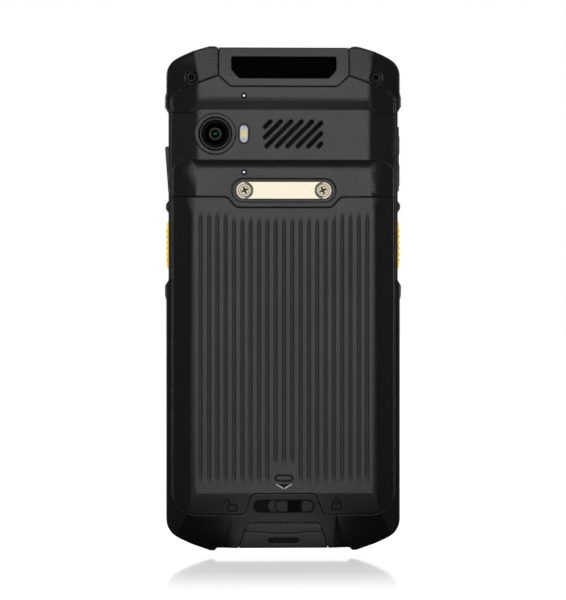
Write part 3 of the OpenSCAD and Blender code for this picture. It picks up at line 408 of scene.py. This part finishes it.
class Shape(Tree):
    """A geometry tree with named inputs, set by socket identifier when it is put on a piece."""

    def __init__(self, name, inputs):
        group = bpy.data.node_groups.new(name, "GeometryNodeTree")
        super().__init__(group)
        group.interface.new_socket(
            "Geometry", in_out="INPUT", socket_type="NodeSocketGeometry")
        group.interface.new_socket(
            "Geometry", in_out="OUTPUT", socket_type="NodeSocketGeometry")
        for label, value in inputs.items():
            socket = group.interface.new_socket(
                label, in_out="INPUT", socket_type="NodeSocketFloat")
            socket.default_value = value
        self.start = group.nodes.new("NodeGroupInput")
        self.end = group.nodes.new("NodeGroupOutput")

    def input(self, label):
        return Wire(self, self.start.outputs[label])

    def finish(self, wire):
        self.node_tree.links.new(wire.socket, self.end.inputs[0])

    def put_on(self, piece, **values):
        modifier = piece.modifiers.new(self.node_tree.name, "NODES")
        modifier.node_group = self.node_tree
        for item in self.node_tree.interface.items_tree:
            key = item.name.replace(" ", "_")
            if item.in_out == "INPUT" and key in values:
                modifier[item.identifier] = values[key]


FAR_FOLD = math.radians(24)
SLIGHT_FOLD = math.radians(7.5)


def crisp_edge_tree():
    """Keeps an edge crisp where it folds far, or folds at all between two wide faces."""
    shape = Shape("crisp_edges", {"Far": FAR_FOLD, "Slight": SLIGHT_FOLD, "Wide": 0.0003})
    fold = shape.node("GeometryNodeInputMeshEdgeAngle")
    area = shape.node("GeometryNodeInputMeshFaceArea")
    wide = area.math("GREATER_THAN", shape.input("Wide"))
    slight = fold.math("GREATER_THAN", shape.input("Slight"))
    far = fold.math("GREATER_THAN", shape.input("Far"))
    sockets = {
        "Geometry": shape.input("Geometry"),
        "Selection": far.most(slight * wide),
        "Shade Smooth": False,
    }
    shape.finish(shape.node("GeometryNodeSetShadeSmooth", {"domain": "EDGE"}, sockets))
    return shape


crisp_edges = crisp_edge_tree()


def soften(width, *names):
    """Merges a node's loose triangles; with a width it rounds its edges, else it keeps them
    crisp."""
    for name in names:
        piece = nodes[name]
        weld = piece.modifiers.new("weld", "WELD")
        weld.merge_threshold = 0.000002
        flat = piece.modifiers.new("flat", "DECIMATE")
        flat.decimate_type = "DISSOLVE"
        flat.angle_limit = math.radians(0.6)
        piece.data.shade_smooth()
        if width:
            round_over = piece.modifiers.new("round_over", "BEVEL")
            round_over.width = width
            round_over.segments = 3
            round_over.limit_method = "ANGLE"
            round_over.angle_limit = FAR_FOLD
            round_over.use_clamp_overlap = False
            round_over.miter_outer = "MITER_SHARP"
        else:
            crisp_edges.put_on(piece)
        even = piece.modifiers.new("even", "WEIGHTED_NORMAL")
        even.keep_sharp = True


def dress(material, *names):
    for name in names:
        nodes[name].data.materials.clear()
        nodes[name].data.materials.append(material)


PLASTIC_TONE = (0.008, 0.008, 0.0083)
PLASTIC_ROUGH = 0.33
PLASTIC_GRAIN = 0.0004

casing = moulded_plastic("casing_black", PLASTIC_TONE, PLASTIC_ROUGH, PLASTIC_GRAIN,
    depth=0.00004, wear=0.07, round_edge=0.0006)
soften(0, "rear_housing", "front_housing")
dress(casing, "rear_housing", "front_housing")


# ---- Guards, cap and rails ----
# Impact guards of a softer, blacker blend wrap the foot and the two upper corners. The scan
# head cap is screwed on between them, and slim rails close the flanks over the shells' seam.
GUARD_TONE = (0.0045, 0.0045, 0.0047)
GUARD_ROUGH = 0.34

rubber = moulded_plastic("guard_black", GUARD_TONE, GUARD_ROUGH, PLASTIC_GRAIN,
    depth=0.00005, wear=0.15, round_edge=0.001)
cap_black = moulded_plastic("cap_black", PLASTIC_TONE, PLASTIC_ROUGH, PLASTIC_GRAIN,
    depth=0.00003, wear=0.2, gap_shade=0.6)
# Painted highlight: the rails are a paler copy of the black plastic, standing in for the sheen
# along the flanks.
rail_grey = moulded_plastic("rail_grey", (0.03, 0.03, 0.031), 0.36, PLASTIC_GRAIN,
    depth=0.00003)
soften(0, "lower_guard", "top_left_guard", "top_right_guard", "scan_head_cap")
soften(0, "left_rail", "right_rail")
dress(rubber, "top_left_guard", "top_right_guard")
dress(cap_black, "scan_head_cap")
dress(rail_grey, "left_rail", "right_rail")


# ---- Nameplate and scan head ----
# A bare gloss black plate is glued into the cap. Behind a dark red window in the top edge
# sits the scan engine, a die-cast block with an aiming window and an imager lens.
def gloss_plastic(name, tone, rough, level=0.5, peel=0.0022):
    """Polished plastic or glass with an orange peel of that size and a few smudges."""
    finish = Finish(name)
    orange_peel = finish.grain(peel, 1.0)
    smudge = finish.grain(0.006, 3.0, 0.6)
    return finish.surface(
        Base_Color=finish.mix(smudge, shade(tone, 0.85), shade(tone, 1.15)),
        Roughness=(smudge - 0.5) * 0.08 + rough,
        Specular_IOR_Level=level,
        Normal=finish.bump(orange_peel, 0.1, 0.00001),
    )


def tinted_window(name, tone, rough, cloud):
    """Tinted plastic that light goes through, darker by cloud in places."""
    finish = Finish(name)
    smudge = finish.grain(0.003, 3.0, 0.6)
    return finish.surface(
        Base_Color=finish.mix(smudge, tone, shade(tone, 1 - cloud)),
        Roughness=smudge * 0.05 + rough,
        Transmission_Weight=1.0,
        IOR=1.49,
        Normal=finish.bump(smudge, 0.05, 0.00001),
    )


def metal(name, tone, rough, draw=(1, 1, 1), wear=0.12):
    """Bare or plated metal, with painted shade in its gaps; draw squeezes the streaks across the
    drawing direction, and wear is how much darker they are."""
    streak_size = 0.0012
    cloud_size = 0.008
    gap_width = 0.001
    edge_radius = 0.00012
    finish = Finish(name)
    streak = finish.grain(streak_size, 4.0, 0.65, finish.stretch(*draw))
    cloud = finish.grain(cloud_size, 2.0)
    # Painted shade: gaps are coloured darker where something else is close by.
    gap = finish.openness(gap_width).below(0.74, 0.5)
    clean = finish.mix(streak * 0.5 + cloud * 0.5, shade(tone, 1 - wear), tone)
    shade_tone = tuple(part * part * 0.2 for part in tone)
    return finish.surface(
        Base_Color=finish.mix(gap, clean, shade_tone),
        Metallic=1.0,
        Roughness=(streak - 0.5) * 0.14 + rough + gap * 0.2,
        Normal=finish.bump(streak, 0.15, 0.000015, finish.rounded(edge_radius)),
    )


soften(0.00015, "nameplate")
dress(gloss_plastic("gloss_black", (0.003, 0.003, 0.0034), rough=0.12, level=0.0), "nameplate")
dress(tinted_window("scan_red", (0.42, 0.015, 0.02), rough=0.02, cloud=0.3), "scan_window")
soften(0.00012, "scan_engine")
dress(metal("die_cast", (0.42, 0.43, 0.45), rough=0.45), "scan_engine")


# ---- Battery cover ----
# A thin moulded lid with fading grooves over the plateau. Two curved hooks at its upper
# edge turn behind the housing, and a keeper rib at its lower edge meets the latch.
def cover_marks(finish):
    """Sunk signs of the lid: a finger bar with a chevron over the latch, an open lock where
    the slide frees the lid and a closed lock where it holds it."""
    line = 0.0004
    crisp = 0.0002
    closed_x, closed_z = 0.0176, 0.015
    opened_x, opened_z = -0.0171, 0.0145
    bow_radius = 0.0008
    bow_foot = 0.0161
    lifted_x, lifted_foot = -0.0190, 0.0157
    chevron_slope, chevron_tip = 0.62, 0.02078
    x, depth, z = finish.axes()
    aside = abs(x)

    def plaque(middle_x, middle_z, half_w, half_h, corner):
        """Distance from a rectangle with round corners, below 0 inside it."""
        over_x = (abs(x - middle_x) - (half_w - corner)).most(0.0)
        over_z = (abs(z - middle_z) - (half_h - corner)).most(0.0)
        return over_x.hypot(over_z) - corner

    def stroke(distance, width=line):
        return distance.near(0, width / 2, 0.00014)

    def lock_body(middle_x, middle_z):
        return stroke(plaque(middle_x, middle_z, 0.0015, 0.0011, 0.0004))

    def shackle(middle_x, foot_z, leg):
        """A bow on two legs, cut off at the lock's upper edge."""
        above_foot = (z - (foot_z + leg)).most(0.0)
        bow = stroke((x - middle_x).hypot(above_foot) - bow_radius)
        return bow * z.above(bow_foot, crisp)

    bar = stroke(plaque(0, 0.02435, 0.003, 0.00105, 0.00095))
    keyhole = stroke(plaque(closed_x, closed_z, 0.00015, 0.0003, 0.0001), 0.0003) * 0.5
    closed = lock_body(closed_x, closed_z).most(shackle(closed_x, bow_foot, 0.0006), keyhole)
    leg_x = lifted_x + bow_radius
    leg = stroke(x - leg_x) * z.above(0.0156, crisp) * z.below(0.0165, crisp)
    lifted = (shackle(lifted_x, lifted_foot, 0.0007) * x.below(leg_x, crisp)).most(leg)
    locks = closed.most(lock_body(opened_x, opened_z), lifted)
    over_fold = z - (aside * chevron_slope + chevron_tip)
    chevron = stroke(over_fold, 0.0005) * aside.below(0.0025, crisp)
    chevron = chevron * aside.above(0.00022, 0.00015)
    head = aside.below(0.0022, 0.0003) * over_fold.above(0.00045, crisp) * z.below(0.0223, 0.0003)
    outer = (0 - depth).above(0.0045, 0.001)
    sunk = locks.most(head * 0.7) * outer
    # Painted shade: the sunk signs and the finger bar's outline are coloured near black, as the
    # shade in their hollows.
    dark = locks.most(head * 0.9, bar * 0.55) * outer
    return sunk, dark, chevron * outer


def groove_field(finish):
    """The grooves are shallow and full of shade, and fade out at their ends. The three middle
    ones begin higher, above the finger bar, and those below the strap plate end lower."""
    half_pitch = 0.001385
    low_end, high_end = 0.0214, 0.1136
    middle_rise = 0.006
    strap_drop = 0.0018
    x, depth, z = finish.axes()
    side = abs(x)
    middle = side.below(0.00415, 0.0002)
    inside = side.below(0.0297, 0.0006) * (0 - depth).above(0.0074, 0.0006)
    inside = inside * (1 - middle * z.below(0.0265, 0.0002)) * z.above(0.0212, 0.0006)
    under_strap = side.below(0.0168, 0.0004)
    below_top = high_end - under_strap * strap_drop - z
    into = (z - (low_end + middle * middle_rise)).math("MINIMUM", below_top)
    fade = into.above(0.0016, 0.0034)
    across = x.math("WRAP", half_pitch, -half_pitch)
    valley = across.near(0, 0.00052, 0.0005)
    crease = across.near(0.00042, 0.00016, 0.0002)
    shadow = (valley * 0.14 + crease * 0.22) * fade * inside
    return inside * (1 - fade * 0.4) * z.below(0.1135, 0.0004), shadow


lid_black = moulded_plastic("lid_black", PLASTIC_TONE, PLASTIC_ROUGH, PLASTIC_GRAIN,
    depth=0.00004, wear=0.06, marks=cover_marks, round_edge=0.0005, gap_shade=0.9,
    soft_field=groove_field)
soften(0, "battery_cover")
dress(lid_black, "battery_cover")


# ---- Latch and bottom flap ----
# The lock slide runs in a slot of the foot on a thin carrier plate. The flap below it
# is moulded like the housing, hooks over the foot's edge and has a finger slot.
def foot_depth(finish):
    """How far a place lies below the inclined surface of the foot."""
    x, y, z = finish.axes()
    return (y + 0.0085) - (0.0192 - z) * 0.18


def flap_marks(finish):
    """The panel of the flap stands proud below a slightly dipped edge, with a painted highlight
    on its lip, painted shade in the groove above it and painted shade wherever it lies more than
    0.3 mm below the foot's surface."""
    panel_top = 0.0062
    x, y, z = finish.axes()
    side = abs(x)
    dip = side.below(0.006, 0.006) * 0.0005
    above_panel = z - panel_top + dip
    within = side.below(0.0125, 0.0006) * foot_depth(finish).below(0.0004, 0.0002)
    # Painted highlight on the lip, painted shade in the groove and in the pocket.
    lit = above_panel.near(-0.0002, 0.00018, 0.0002) * within * 0.07
    groove = above_panel.near(0.0002, 0.00025, 0.0002) * within * 0.8
    dark = foot_depth(finish).above(0.0003, 0.0002).most(groove)
    return above_panel.above(0.0, 0.0004) * within, dark, lit


def foot_marks(finish):
    """The slot and its edge are painted dark, as shade."""
    slot_height = 0.015
    slot_half_length = 0.008
    slot_radius = 0.0023
    x, y, z = finish.axes()
    over = (abs(x) - slot_half_length).most(0.0)
    slot = over.hypot(z - slot_height).below(slot_radius, 0.0002)
    return 0.0, slot * 0.95, 0.0


def grip_marks(finish):
    """The ribs of the grip are painted near black, as the shade among them, and made rough."""
    x, y, z = finish.axes()
    return 0.0, x.near(0.00345, 0.0022, 0.0002) * 0.9, 0.0


latch_black = moulded_plastic("latch_black", (0.004, 0.004, 0.0042), 0.45, 0.0003,
    depth=0.00002, wear=0.03, marks=grip_marks, level=0.3)
flap_black = moulded_plastic("flap_black", PLASTIC_TONE, PLASTIC_ROUGH, PLASTIC_GRAIN,
    depth=0.00005, wear=0.12, marks=flap_marks)
foot_black = moulded_plastic("foot_black", GUARD_TONE, GUARD_ROUGH, PLASTIC_GRAIN,
    depth=0.00005, wear=0.12, marks=foot_marks)
soften(0, "latch_slider", "bottom_port_flap")
dress(latch_black, "latch_slider")
dress(flap_black, "bottom_port_flap")
dress(foot_black, "lower_guard")


# ---- Camera ----
# A black turned ring holds a disc of cover glass. Behind it lie the black barrel, a grey
# stop ring and the coated front lens, whose green reflection is painted on. Sizes in millimetres.
def as_piece(name, mesh, material):
    """Puts a mesh on the terminal's body."""
    piece = bpy.data.objects.new(name, mesh)
    bpy.context.scene.collection.objects.link(piece)
    mesh.materials.clear()
    mesh.materials.append(material)
    mesh.shade_smooth()
    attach(piece, "terminal")
    return piece


def turned(name, middle, profile, material, steps=64):
    """Turned on an axis along Y through middle; the closed profile lists (radius, y)."""
    work = bmesh.new()
    rings = []
    for radius, y in profile:
        turns = [2 * math.pi * k / steps for k in range(steps if radius else 1)]
        rings.append([
            work.verts.new((
                (middle[0] + radius * math.cos(turn)) / 1000,
                y / 1000,
                (middle[1] + radius * math.sin(turn)) / 1000,
            ))
            for turn in turns
        ])
    for ring, after in zip(rings, rings[1:] + rings[:1]):
        for k in range(steps if len(ring) > 1 or len(after) > 1 else 0):
            corners = [ring[k % len(ring)], ring[(k + 1) % len(ring)]]
            corners += [after[(k + 1) % len(after)], after[k % len(after)]]
            work.faces.new(list(dict.fromkeys(corners)))
    bmesh.ops.recalc_face_normals(work, faces=work.faces)
    mesh = bpy.data.meshes.new(name)
    work.to_mesh(mesh)
    work.free()
    crisp_edges.put_on(as_piece(name, mesh, material))


def coated_lens(name, middle, radius):
    """Dark glass with a painted green glint beside the middle and a painted blue one at the rim.
    """
    span = radius / 1000
    finish = Finish(name)
    aside, up = finish.around(middle)
    glint_x = aside - 0.00005
    glint = (glint_x * glint_x * 0.3 + up * up).math("SQRT")
    # Painted reflections: a green glint and a blue rim glint in the lens colour.
    green = glint.below(span * 0.22, span * 0.3)
    rim = aside.hypot(up).above(span * 0.85, span * 0.2) * aside.above(0.0002, 0.001)
    tone = finish.mix(green, (0.003, 0.003, 0.004), (0.03, 0.34, 0.12))
    return finish.surface(
        Base_Color=finish.mix(rim * 0.5, tone, (0.03, 0.06, 0.16)),
        Roughness=finish.grain(0.0006) * 0.04 + 0.03,
        Specular_IOR_Level=0.03,
    )


def thin_glass(name, middle, edge):
    """Cover glass that hardly shows but for a painted blue gleam at its right edge."""
    finish = Finish(name)
    aside, up = finish.around(middle)
    # Painted reflection: a blue gleam at the right edge.
    gleam = aside.hypot(up).above(edge / 1000, 0.0005) * aside.above(edge * 0.0006, 0.002)
    smudge = finish.grain(0.003, 3.0, 0.6)
    return finish.surface(
        Base_Color=finish.mix(gleam, (0.003, 0.003, 0.004), (0.012, 0.022, 0.06)),
        Roughness=smudge * 0.04 + 0.03,
        Specular_IOR_Level=0.0,
        Alpha=gleam * 0.4 + 0.02,
    )


camera_middle = (-22.8, 138.8)
lens_radius = 1.28
ring_black = gloss_plastic("ring_black", (0.003, 0.003, 0.0034), 0.3, level=0.04, peel=0.0004)
barrel_black = gloss_plastic("barrel_black", (0.0015, 0.0015, 0.002), 0.6, level=0.03, peel=0.003)
lens_black = gloss_plastic("lens_black", (0.0008, 0.0008, 0.001), 0.8, level=0.0, peel=0.003)
stop_grey = gloss_plastic("stop_grey", (0.05, 0.044, 0.04), 0.4, level=0.3, peel=0.0003)
rim_grey = gloss_plastic("rim_grey", (0.05, 0.05, 0.052), 0.3, level=0.4, peel=0.0003)
coating = coated_lens("camera_coating", camera_middle, lens_radius)
soften(0.00012, "camera_ring")
dress(ring_black, "camera_ring")
soften(0, "camera_glass")
dress(thin_glass("camera_clear", camera_middle, 3.9), "camera_glass")
turned("camera_rim", camera_middle,
    [(4.82, -8.24), (5.0, -8.24), (5.0, -8.1), (4.82, -8.1)], rim_grey)
turned("lens_barrel", camera_middle,
    [(4.15, -6.98), (2.12, -6.9), (2.08, -6.56), (1.2, -6.4), (1.2, -6.34), (4.15, -6.34)],
    lens_black)
turned("lens_stop", camera_middle,
    [(2.07, -6.9), (1.55, -6.98), (1.3, -6.72), (1.3, -6.6), (2.07, -6.6)], stop_grey)
dome_turns = [step * math.pi / 16 for step in range(9)]
dome = [(lens_radius * math.sin(turn), -6.55 - 0.3 * math.cos(turn)) for turn in dome_turns]
turned("camera_lens", camera_middle, dome + [(0, -6.45)], coating)
dress(metal("camera_can", (0.5, 0.5, 0.52), rough=0.4), "camera_module", "front_camera")


# ---- Flash and microphones ----
# The flash is a moulded lens over a warm phosphor, with ribs that spread the light. Each
# microphone port has a black ring laid round it as painted shade of its stepped hole, with pale
# gauze in its middle.
def flash_pattern(name, middle):
    """A black rim round a cream lens with pale speckled ends and the yellow phosphor; the whole
    face glows a little, as painted light.
    """
    half_straight = 0.00155
    half_width = 0.00125
    rib_phase = 9000
    finish = Finish(name)
    aside, height = finish.around(middle)
    side = abs(aside)
    up = abs(height)
    rim = side.hypot((up - half_straight).most(0.0)).above(half_width, 0.0002)
    prism = (up * rib_phase).math("SINE") * 0.5 + 0.5
    sparkle = finish.grain(0.0004, 1.0).above(0.5, 0.25)
    ends = up.above(0.0014, 0.001)
    warm = finish.mix(ends, (0.86, 0.8, 0.6), (0.8, 0.82, 0.92))
    ribbed = finish.mix(prism * 0.2 + sparkle * ends * 0.5, warm, (0.16, 0.165, 0.2))
    lens = finish.mix(side.hypot(up).below(0.0005, 0.0004), ribbed, (0.95, 0.85, 0.05))
    face = finish.mix(rim, lens, (0.004, 0.004, 0.004))
    # Painted light: the flash face glows, though the flash is off.
    return finish.surface(
        Base_Color=face,
        Roughness=finish.grain(0.0005) * 0.1 + 0.12,
        Emission_Color=face,
        Emission_Strength=0.28,
        Normal=finish.bump(prism, 0.4, 0.0001),
    )


flash_x, flash_z = -13.3, 138.8
dress(flash_pattern("flash_clear", (flash_x, flash_z)), "flash_lens")
dress(gloss_plastic("led_phosphor", (0.85, 0.62, 0.12), rough=0.4), "flash_led")
gauze_pale = metal("gauze_pale", (0.66, 0.7, 0.8), rough=0.4)
dress(gauze_pale, "microphones")
# Painted shade: a black ring stands in for the shade in each port's stepped hole.
shade_ring = [(0.5, -8.5), (0.56, -8.54), (0.86, -8.54), (0.94, -8.5), (0.94, -8.4), (0.5, -8.4)]
gauze = [(0, -8.46), (0.3, -8.46), (0.49, -8.42), (0.49, -8.3), (0, -8.3)]
for place, z in (("lower", 126.0), ("upper", 151.4)):
    turned("bush_" + place, (flash_x, z), shade_ring, barrel_black, steps=32)
    turned("gauze_" + place, (flash_x, z), gauze, gauze_pale, steps=24)


# ---- Speaker and receiver ----
# A woven steel mesh lies behind the speaker's slots and a finer one behind the receiver's
# slot in the display glass, each glued to the front of its driver.
def mesh_shape(material):
    shape = Shape("woven_mesh", {
        "Width": 0.02, "Height": 0.01, "Pitch": 0.001, "Ring": 0.0004, "Wire": 0.0001,
        "Middle X": 0.0, "Middle Y": 0.0, "Middle Z": 0.0,
    })
    grid = shape.node("GeometryNodeMeshGrid", None, {
        "Size X": shape.input("Width"),
        "Size Y": shape.input("Height"),
        "Vertices X": (shape.input("Width") / shape.input("Pitch")).math("FLOOR"),
        "Vertices Y": (shape.input("Height") / shape.input("Pitch")).math("FLOOR"),
    })
    ring, wire = (
        shape.node("GeometryNodeCurvePrimitiveCircle", None, {
            "Resolution": corners, "Radius": shape.input(label)})
        for label, corners in (("Ring", 8), ("Wire", 4)))
    loop = shape.node("GeometryNodeCurveToMesh", None, {"Curve": ring, "Profile Curve": wire})
    placed = shape.node("GeometryNodeInstanceOnPoints", None, {"Points": grid, "Instance": loop})
    real = shape.node("GeometryNodeRealizeInstances", None, {0: placed})
    middle = shape.node("ShaderNodeCombineXYZ", None, {
        axis: shape.input("Middle " + axis) for axis in "XYZ"})
    upright = shape.node("GeometryNodeTransform", None, {
        "Geometry": real, "Translation": middle, "Rotation": (math.radians(90), 0, 0)})
    shape.finish(shape.node("GeometryNodeSetMaterial", None, {
        "Geometry": upright, "Material": material}))
    return shape


def grown(name, shape, material, **values):
    """Turns what a geometry tree makes into a plain piece."""
    start = bpy.data.objects.new(name + "_start", bpy.data.meshes.new(name + "_start"))
    bpy.context.scene.collection.objects.link(start)
    shape.put_on(start, **values)
    ready = start.evaluated_get(bpy.context.evaluated_depsgraph_get())
    mesh = bpy.data.meshes.new_from_object(ready)
    bpy.data.objects.remove(start)
    return as_piece(name, mesh, material)


# Painted shade: the steel meshes are coloured near black, as the shade behind the slots.
mesh_steel = metal("mesh_steel", (0.03, 0.03, 0.032), rough=0.35)
woven = mesh_shape(mesh_steel)
for part, pitch in (("speaker", 0.0009), ("receiver", 0.0006)):
    low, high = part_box(part + "_mesh")
    middle = [(a + b) / 2 for a, b in zip(low, high)]
    piece = grown(
        part + "_gauze", woven, mesh_steel,
        Width=high[0] - low[0] - pitch,
        Height=high[2] - low[2] - pitch,
        Pitch=pitch,
        Ring=pitch * 0.46,
        Wire=pitch * 0.11,
        Middle_X=middle[0],
        Middle_Y=low[1] + 0.0002,
        Middle_Z=middle[2],
    )
    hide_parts(part + "_mesh")
speaker_case = gloss_plastic("speaker_case", (0.004, 0.004, 0.0045), rough=0.5, level=0.2)
dress(speaker_case, "speaker_module", "receiver")


# ---- Strap plate ----
# A stamped nickel-plated plate carries the hand strap; two cross-recess screws hold it
# in brass inserts of the housing.
def screw_cross(name, middles, turn, reach, half_width, tone):
    """Cross recess and ring painted dark, as shade, on the two screw heads that face the back, at
    middles on either side."""
    finish = Finish(name)
    x, y, z = finish.axes()
    side = (abs(x) - middles[0]) * x.math("SIGN")
    up = z - middles[1]
    along = abs(side * math.cos(turn) + up * math.sin(turn))
    across = abs(up * math.cos(turn) - side * math.sin(turn))
    longer = along.most(across)
    shorter = along.math("MINIMUM", across)
    cross = longer.below(reach, 0.0002) * shorter.below(half_width, 0.00012)
    ring = side.hypot(up).near(reach * 1.36, 0.0001, 0.0001)
    scratch = finish.grain(0.0007, 3.0, 0.6)
    bare = finish.mix(scratch, shade(tone, 0.85), tone)
    shade_tone = shade((tone[0], tone[1] * 0.75, tone[2] * 0.35), 0.09)
    # Painted shade in the cross recess and in the ring round each head.
    dark = cross.most(ring * 0.6)
    return finish.surface(
        Base_Color=finish.mix(dark, bare, shade_tone),
        Metallic=1.0,
        Roughness=scratch * 0.12 + 0.24,
        Normal=finish.bump(1 - dark, 0.7, 0.0002),
    )


plate_nickel = metal("plate_nickel", (0.53, 0.485, 0.395), rough=0.3, draw=(1, 1, 12), wear=0.08)
strap_screw = screw_cross("strap_screw", middles=(0.013, 0.12), turn=0.42, reach=0.00105,
    half_width=0.00033, tone=(0.5, 0.455, 0.37))
soften(0, "strap_plate", "strap_screws")
dress(plate_nickel, "strap_plate")
dress(strap_screw, "strap_screws")
dress(metal("brass", (0.66, 0.48, 0.2), rough=0.35), "strap_inserts")


# ---- Housing and guard screws ----
# Blackened steel screws with a drive recess. One holds each corner guard, and the others
# hold the shells together from inside the battery bay.
dark_steel = metal("dark_steel", (0.018, 0.018, 0.019), rough=0.4)
soften(0, "guard_screws", "housing_screws")
dress(dark_steel, "guard_screws", "housing_screws")


# ---- Keys and side cover ----
# Yellow scan keys with scalloped faces in both flanks, the black power key and volume
# rocker in their bezel, and a soft cover over the headset socket.
def key_marks(finish):
    """The root of a key lies in the shade of the rail."""
    rail_face = 0.0377
    return 0.0, abs(finish.axes()[0]).below(rail_face, 0.0002), 0.0


# Painted light: the yellow keys glow a little, though they are no lamp.
key_yellow = moulded_plastic("key_yellow", (0.95, 0.56, 0.0), 0.5, 0.0003,
    depth=0.00001, wear=0.0, marks=key_marks, gap_shade=0.4, level=0.02, glow=0.6)
key_black = moulded_plastic("key_black", (0.01, 0.01, 0.011), 0.3, 0.0003,
    depth=0.00002, wear=0.12)
socket_black = moulded_plastic("socket_black", (0.015, 0.015, 0.016), 0.35, PLASTIC_GRAIN,
    depth=0.00001)
soften(0, "scan_key_left", "scan_key_right", "power_key", "volume_rocker", "key_bezel")
soften(0, "side_port_cover")
dress(key_yellow, "scan_key_left", "scan_key_right")
dress(key_black, "power_key", "volume_rocker")
dress(rubber, "key_bezel", "side_port_cover")
dress(socket_black, "headset_socket")


# ---- Display side ----
# One sheet of cover glass, printed black from behind round the panel, is bonded into the
# front shell. The panel lies behind its middle, and the front camera behind a clear spot.
def printed_glass(name):
    """Glass with a black printed border, the dark panel behind its middle, and a clear spot
    for the front camera."""
    panel_height = 0.0835
    half_w, half_h, corner = 0.0295, 0.0605, 0.002
    finish = Finish(name)
    x, y, z = finish.axes()
    over_x = (abs(x) - half_w).most(0.0)
    over_z = (abs(z - panel_height) - half_h).most(0.0)
    panel = over_x.hypot(over_z).below(corner, 0.0001)
    aside, up = finish.around((-16, 151.1))
    reach = aside.hypot(up)
    spot = reach.below(0.0013, 0.0002) * reach.above(0.0006, 0.0004)
    smear = finish.grain(0.012, 4.0, 0.65)
    ground = finish.mix(panel, (0.002, 0.002, 0.0023), (0.007, 0.0073, 0.009))
    return finish.surface(
        Base_Color=finish.mix(spot, ground, (0.02, 0.022, 0.045)),
        Roughness=smear.above(0.5, 0.5) * 0.1 + 0.03,
        Normal=finish.bump(finish.grain(0.01, 1.0), 0.1, 0.00001),
    )


soften(0.0003, "display_glass")
dress(printed_glass("display_black"), "display_glass")
dress(gloss_plastic("panel_black", (0.006, 0.006, 0.008), rough=0.15), "display_panel")


# ---- Battery and bay ----
# The pack is wrapped in matt film. Gold-plated spring contacts meet it at the foot of the
# bay, gold pads in the foot meet the cradle, and a silicone seal runs round the bay.
battery_wrap = moulded_plastic("battery_wrap", (0.035, 0.036, 0.04), 0.5, 0.0006,
    depth=0.00001)
silicone = moulded_plastic("silicone", (0.02, 0.02, 0.022), 0.55, 0.0008, depth=0.00001)
soften(0.0006, "battery_pack")
dress(battery_wrap, "battery_pack")
dress(silicone, "bay_seal")
dress(metal("gold", (0.83, 0.6, 0.24), rough=0.28), "battery_contacts", "cradle_contacts")


# ---- Electronics ----
# The main board is glass fibre under green solder mask, with tinned cans soldered over its
# chips. The steel sockets and key switches and the motor are soldered to it as well.
def board(name, tone, trace):
    """Solder mask over copper: traces as a net of thin lines."""
    finish = Finish(name)
    net = finish.node("ShaderNodeTexVoronoi", {"feature": "DISTANCE_TO_EDGE"}, {"Scale": 420.0},
        "Distance")
    line = net.below(0.06, 0.03)
    speck = finish.grain(0.0006, 2.0)
    return finish.surface(
        Base_Color=finish.mix(line * 0.7 + speck * 0.2, tone, trace),
        Roughness=speck * 0.1 + 0.25,
        Normal=finish.bump(line, 0.2, 0.00003),
    )


tinned = metal("tinned", (0.6, 0.61, 0.62), rough=0.4, draw=(1, 1, 8))
steel = metal("steel", (0.56, 0.57, 0.6), rough=0.32)
dress(board("solder_mask", (0.006, 0.07, 0.03), trace=(0.03, 0.19, 0.08)), "main_board")
dress(tinned, "shield_cans", "vibration_motor")
dress(steel, "side_key_switches", "usb_socket", "sim_socket")
dress(gloss_plastic("tongue_black", (0.01, 0.01, 0.011), rough=0.4), "usb_tongue")
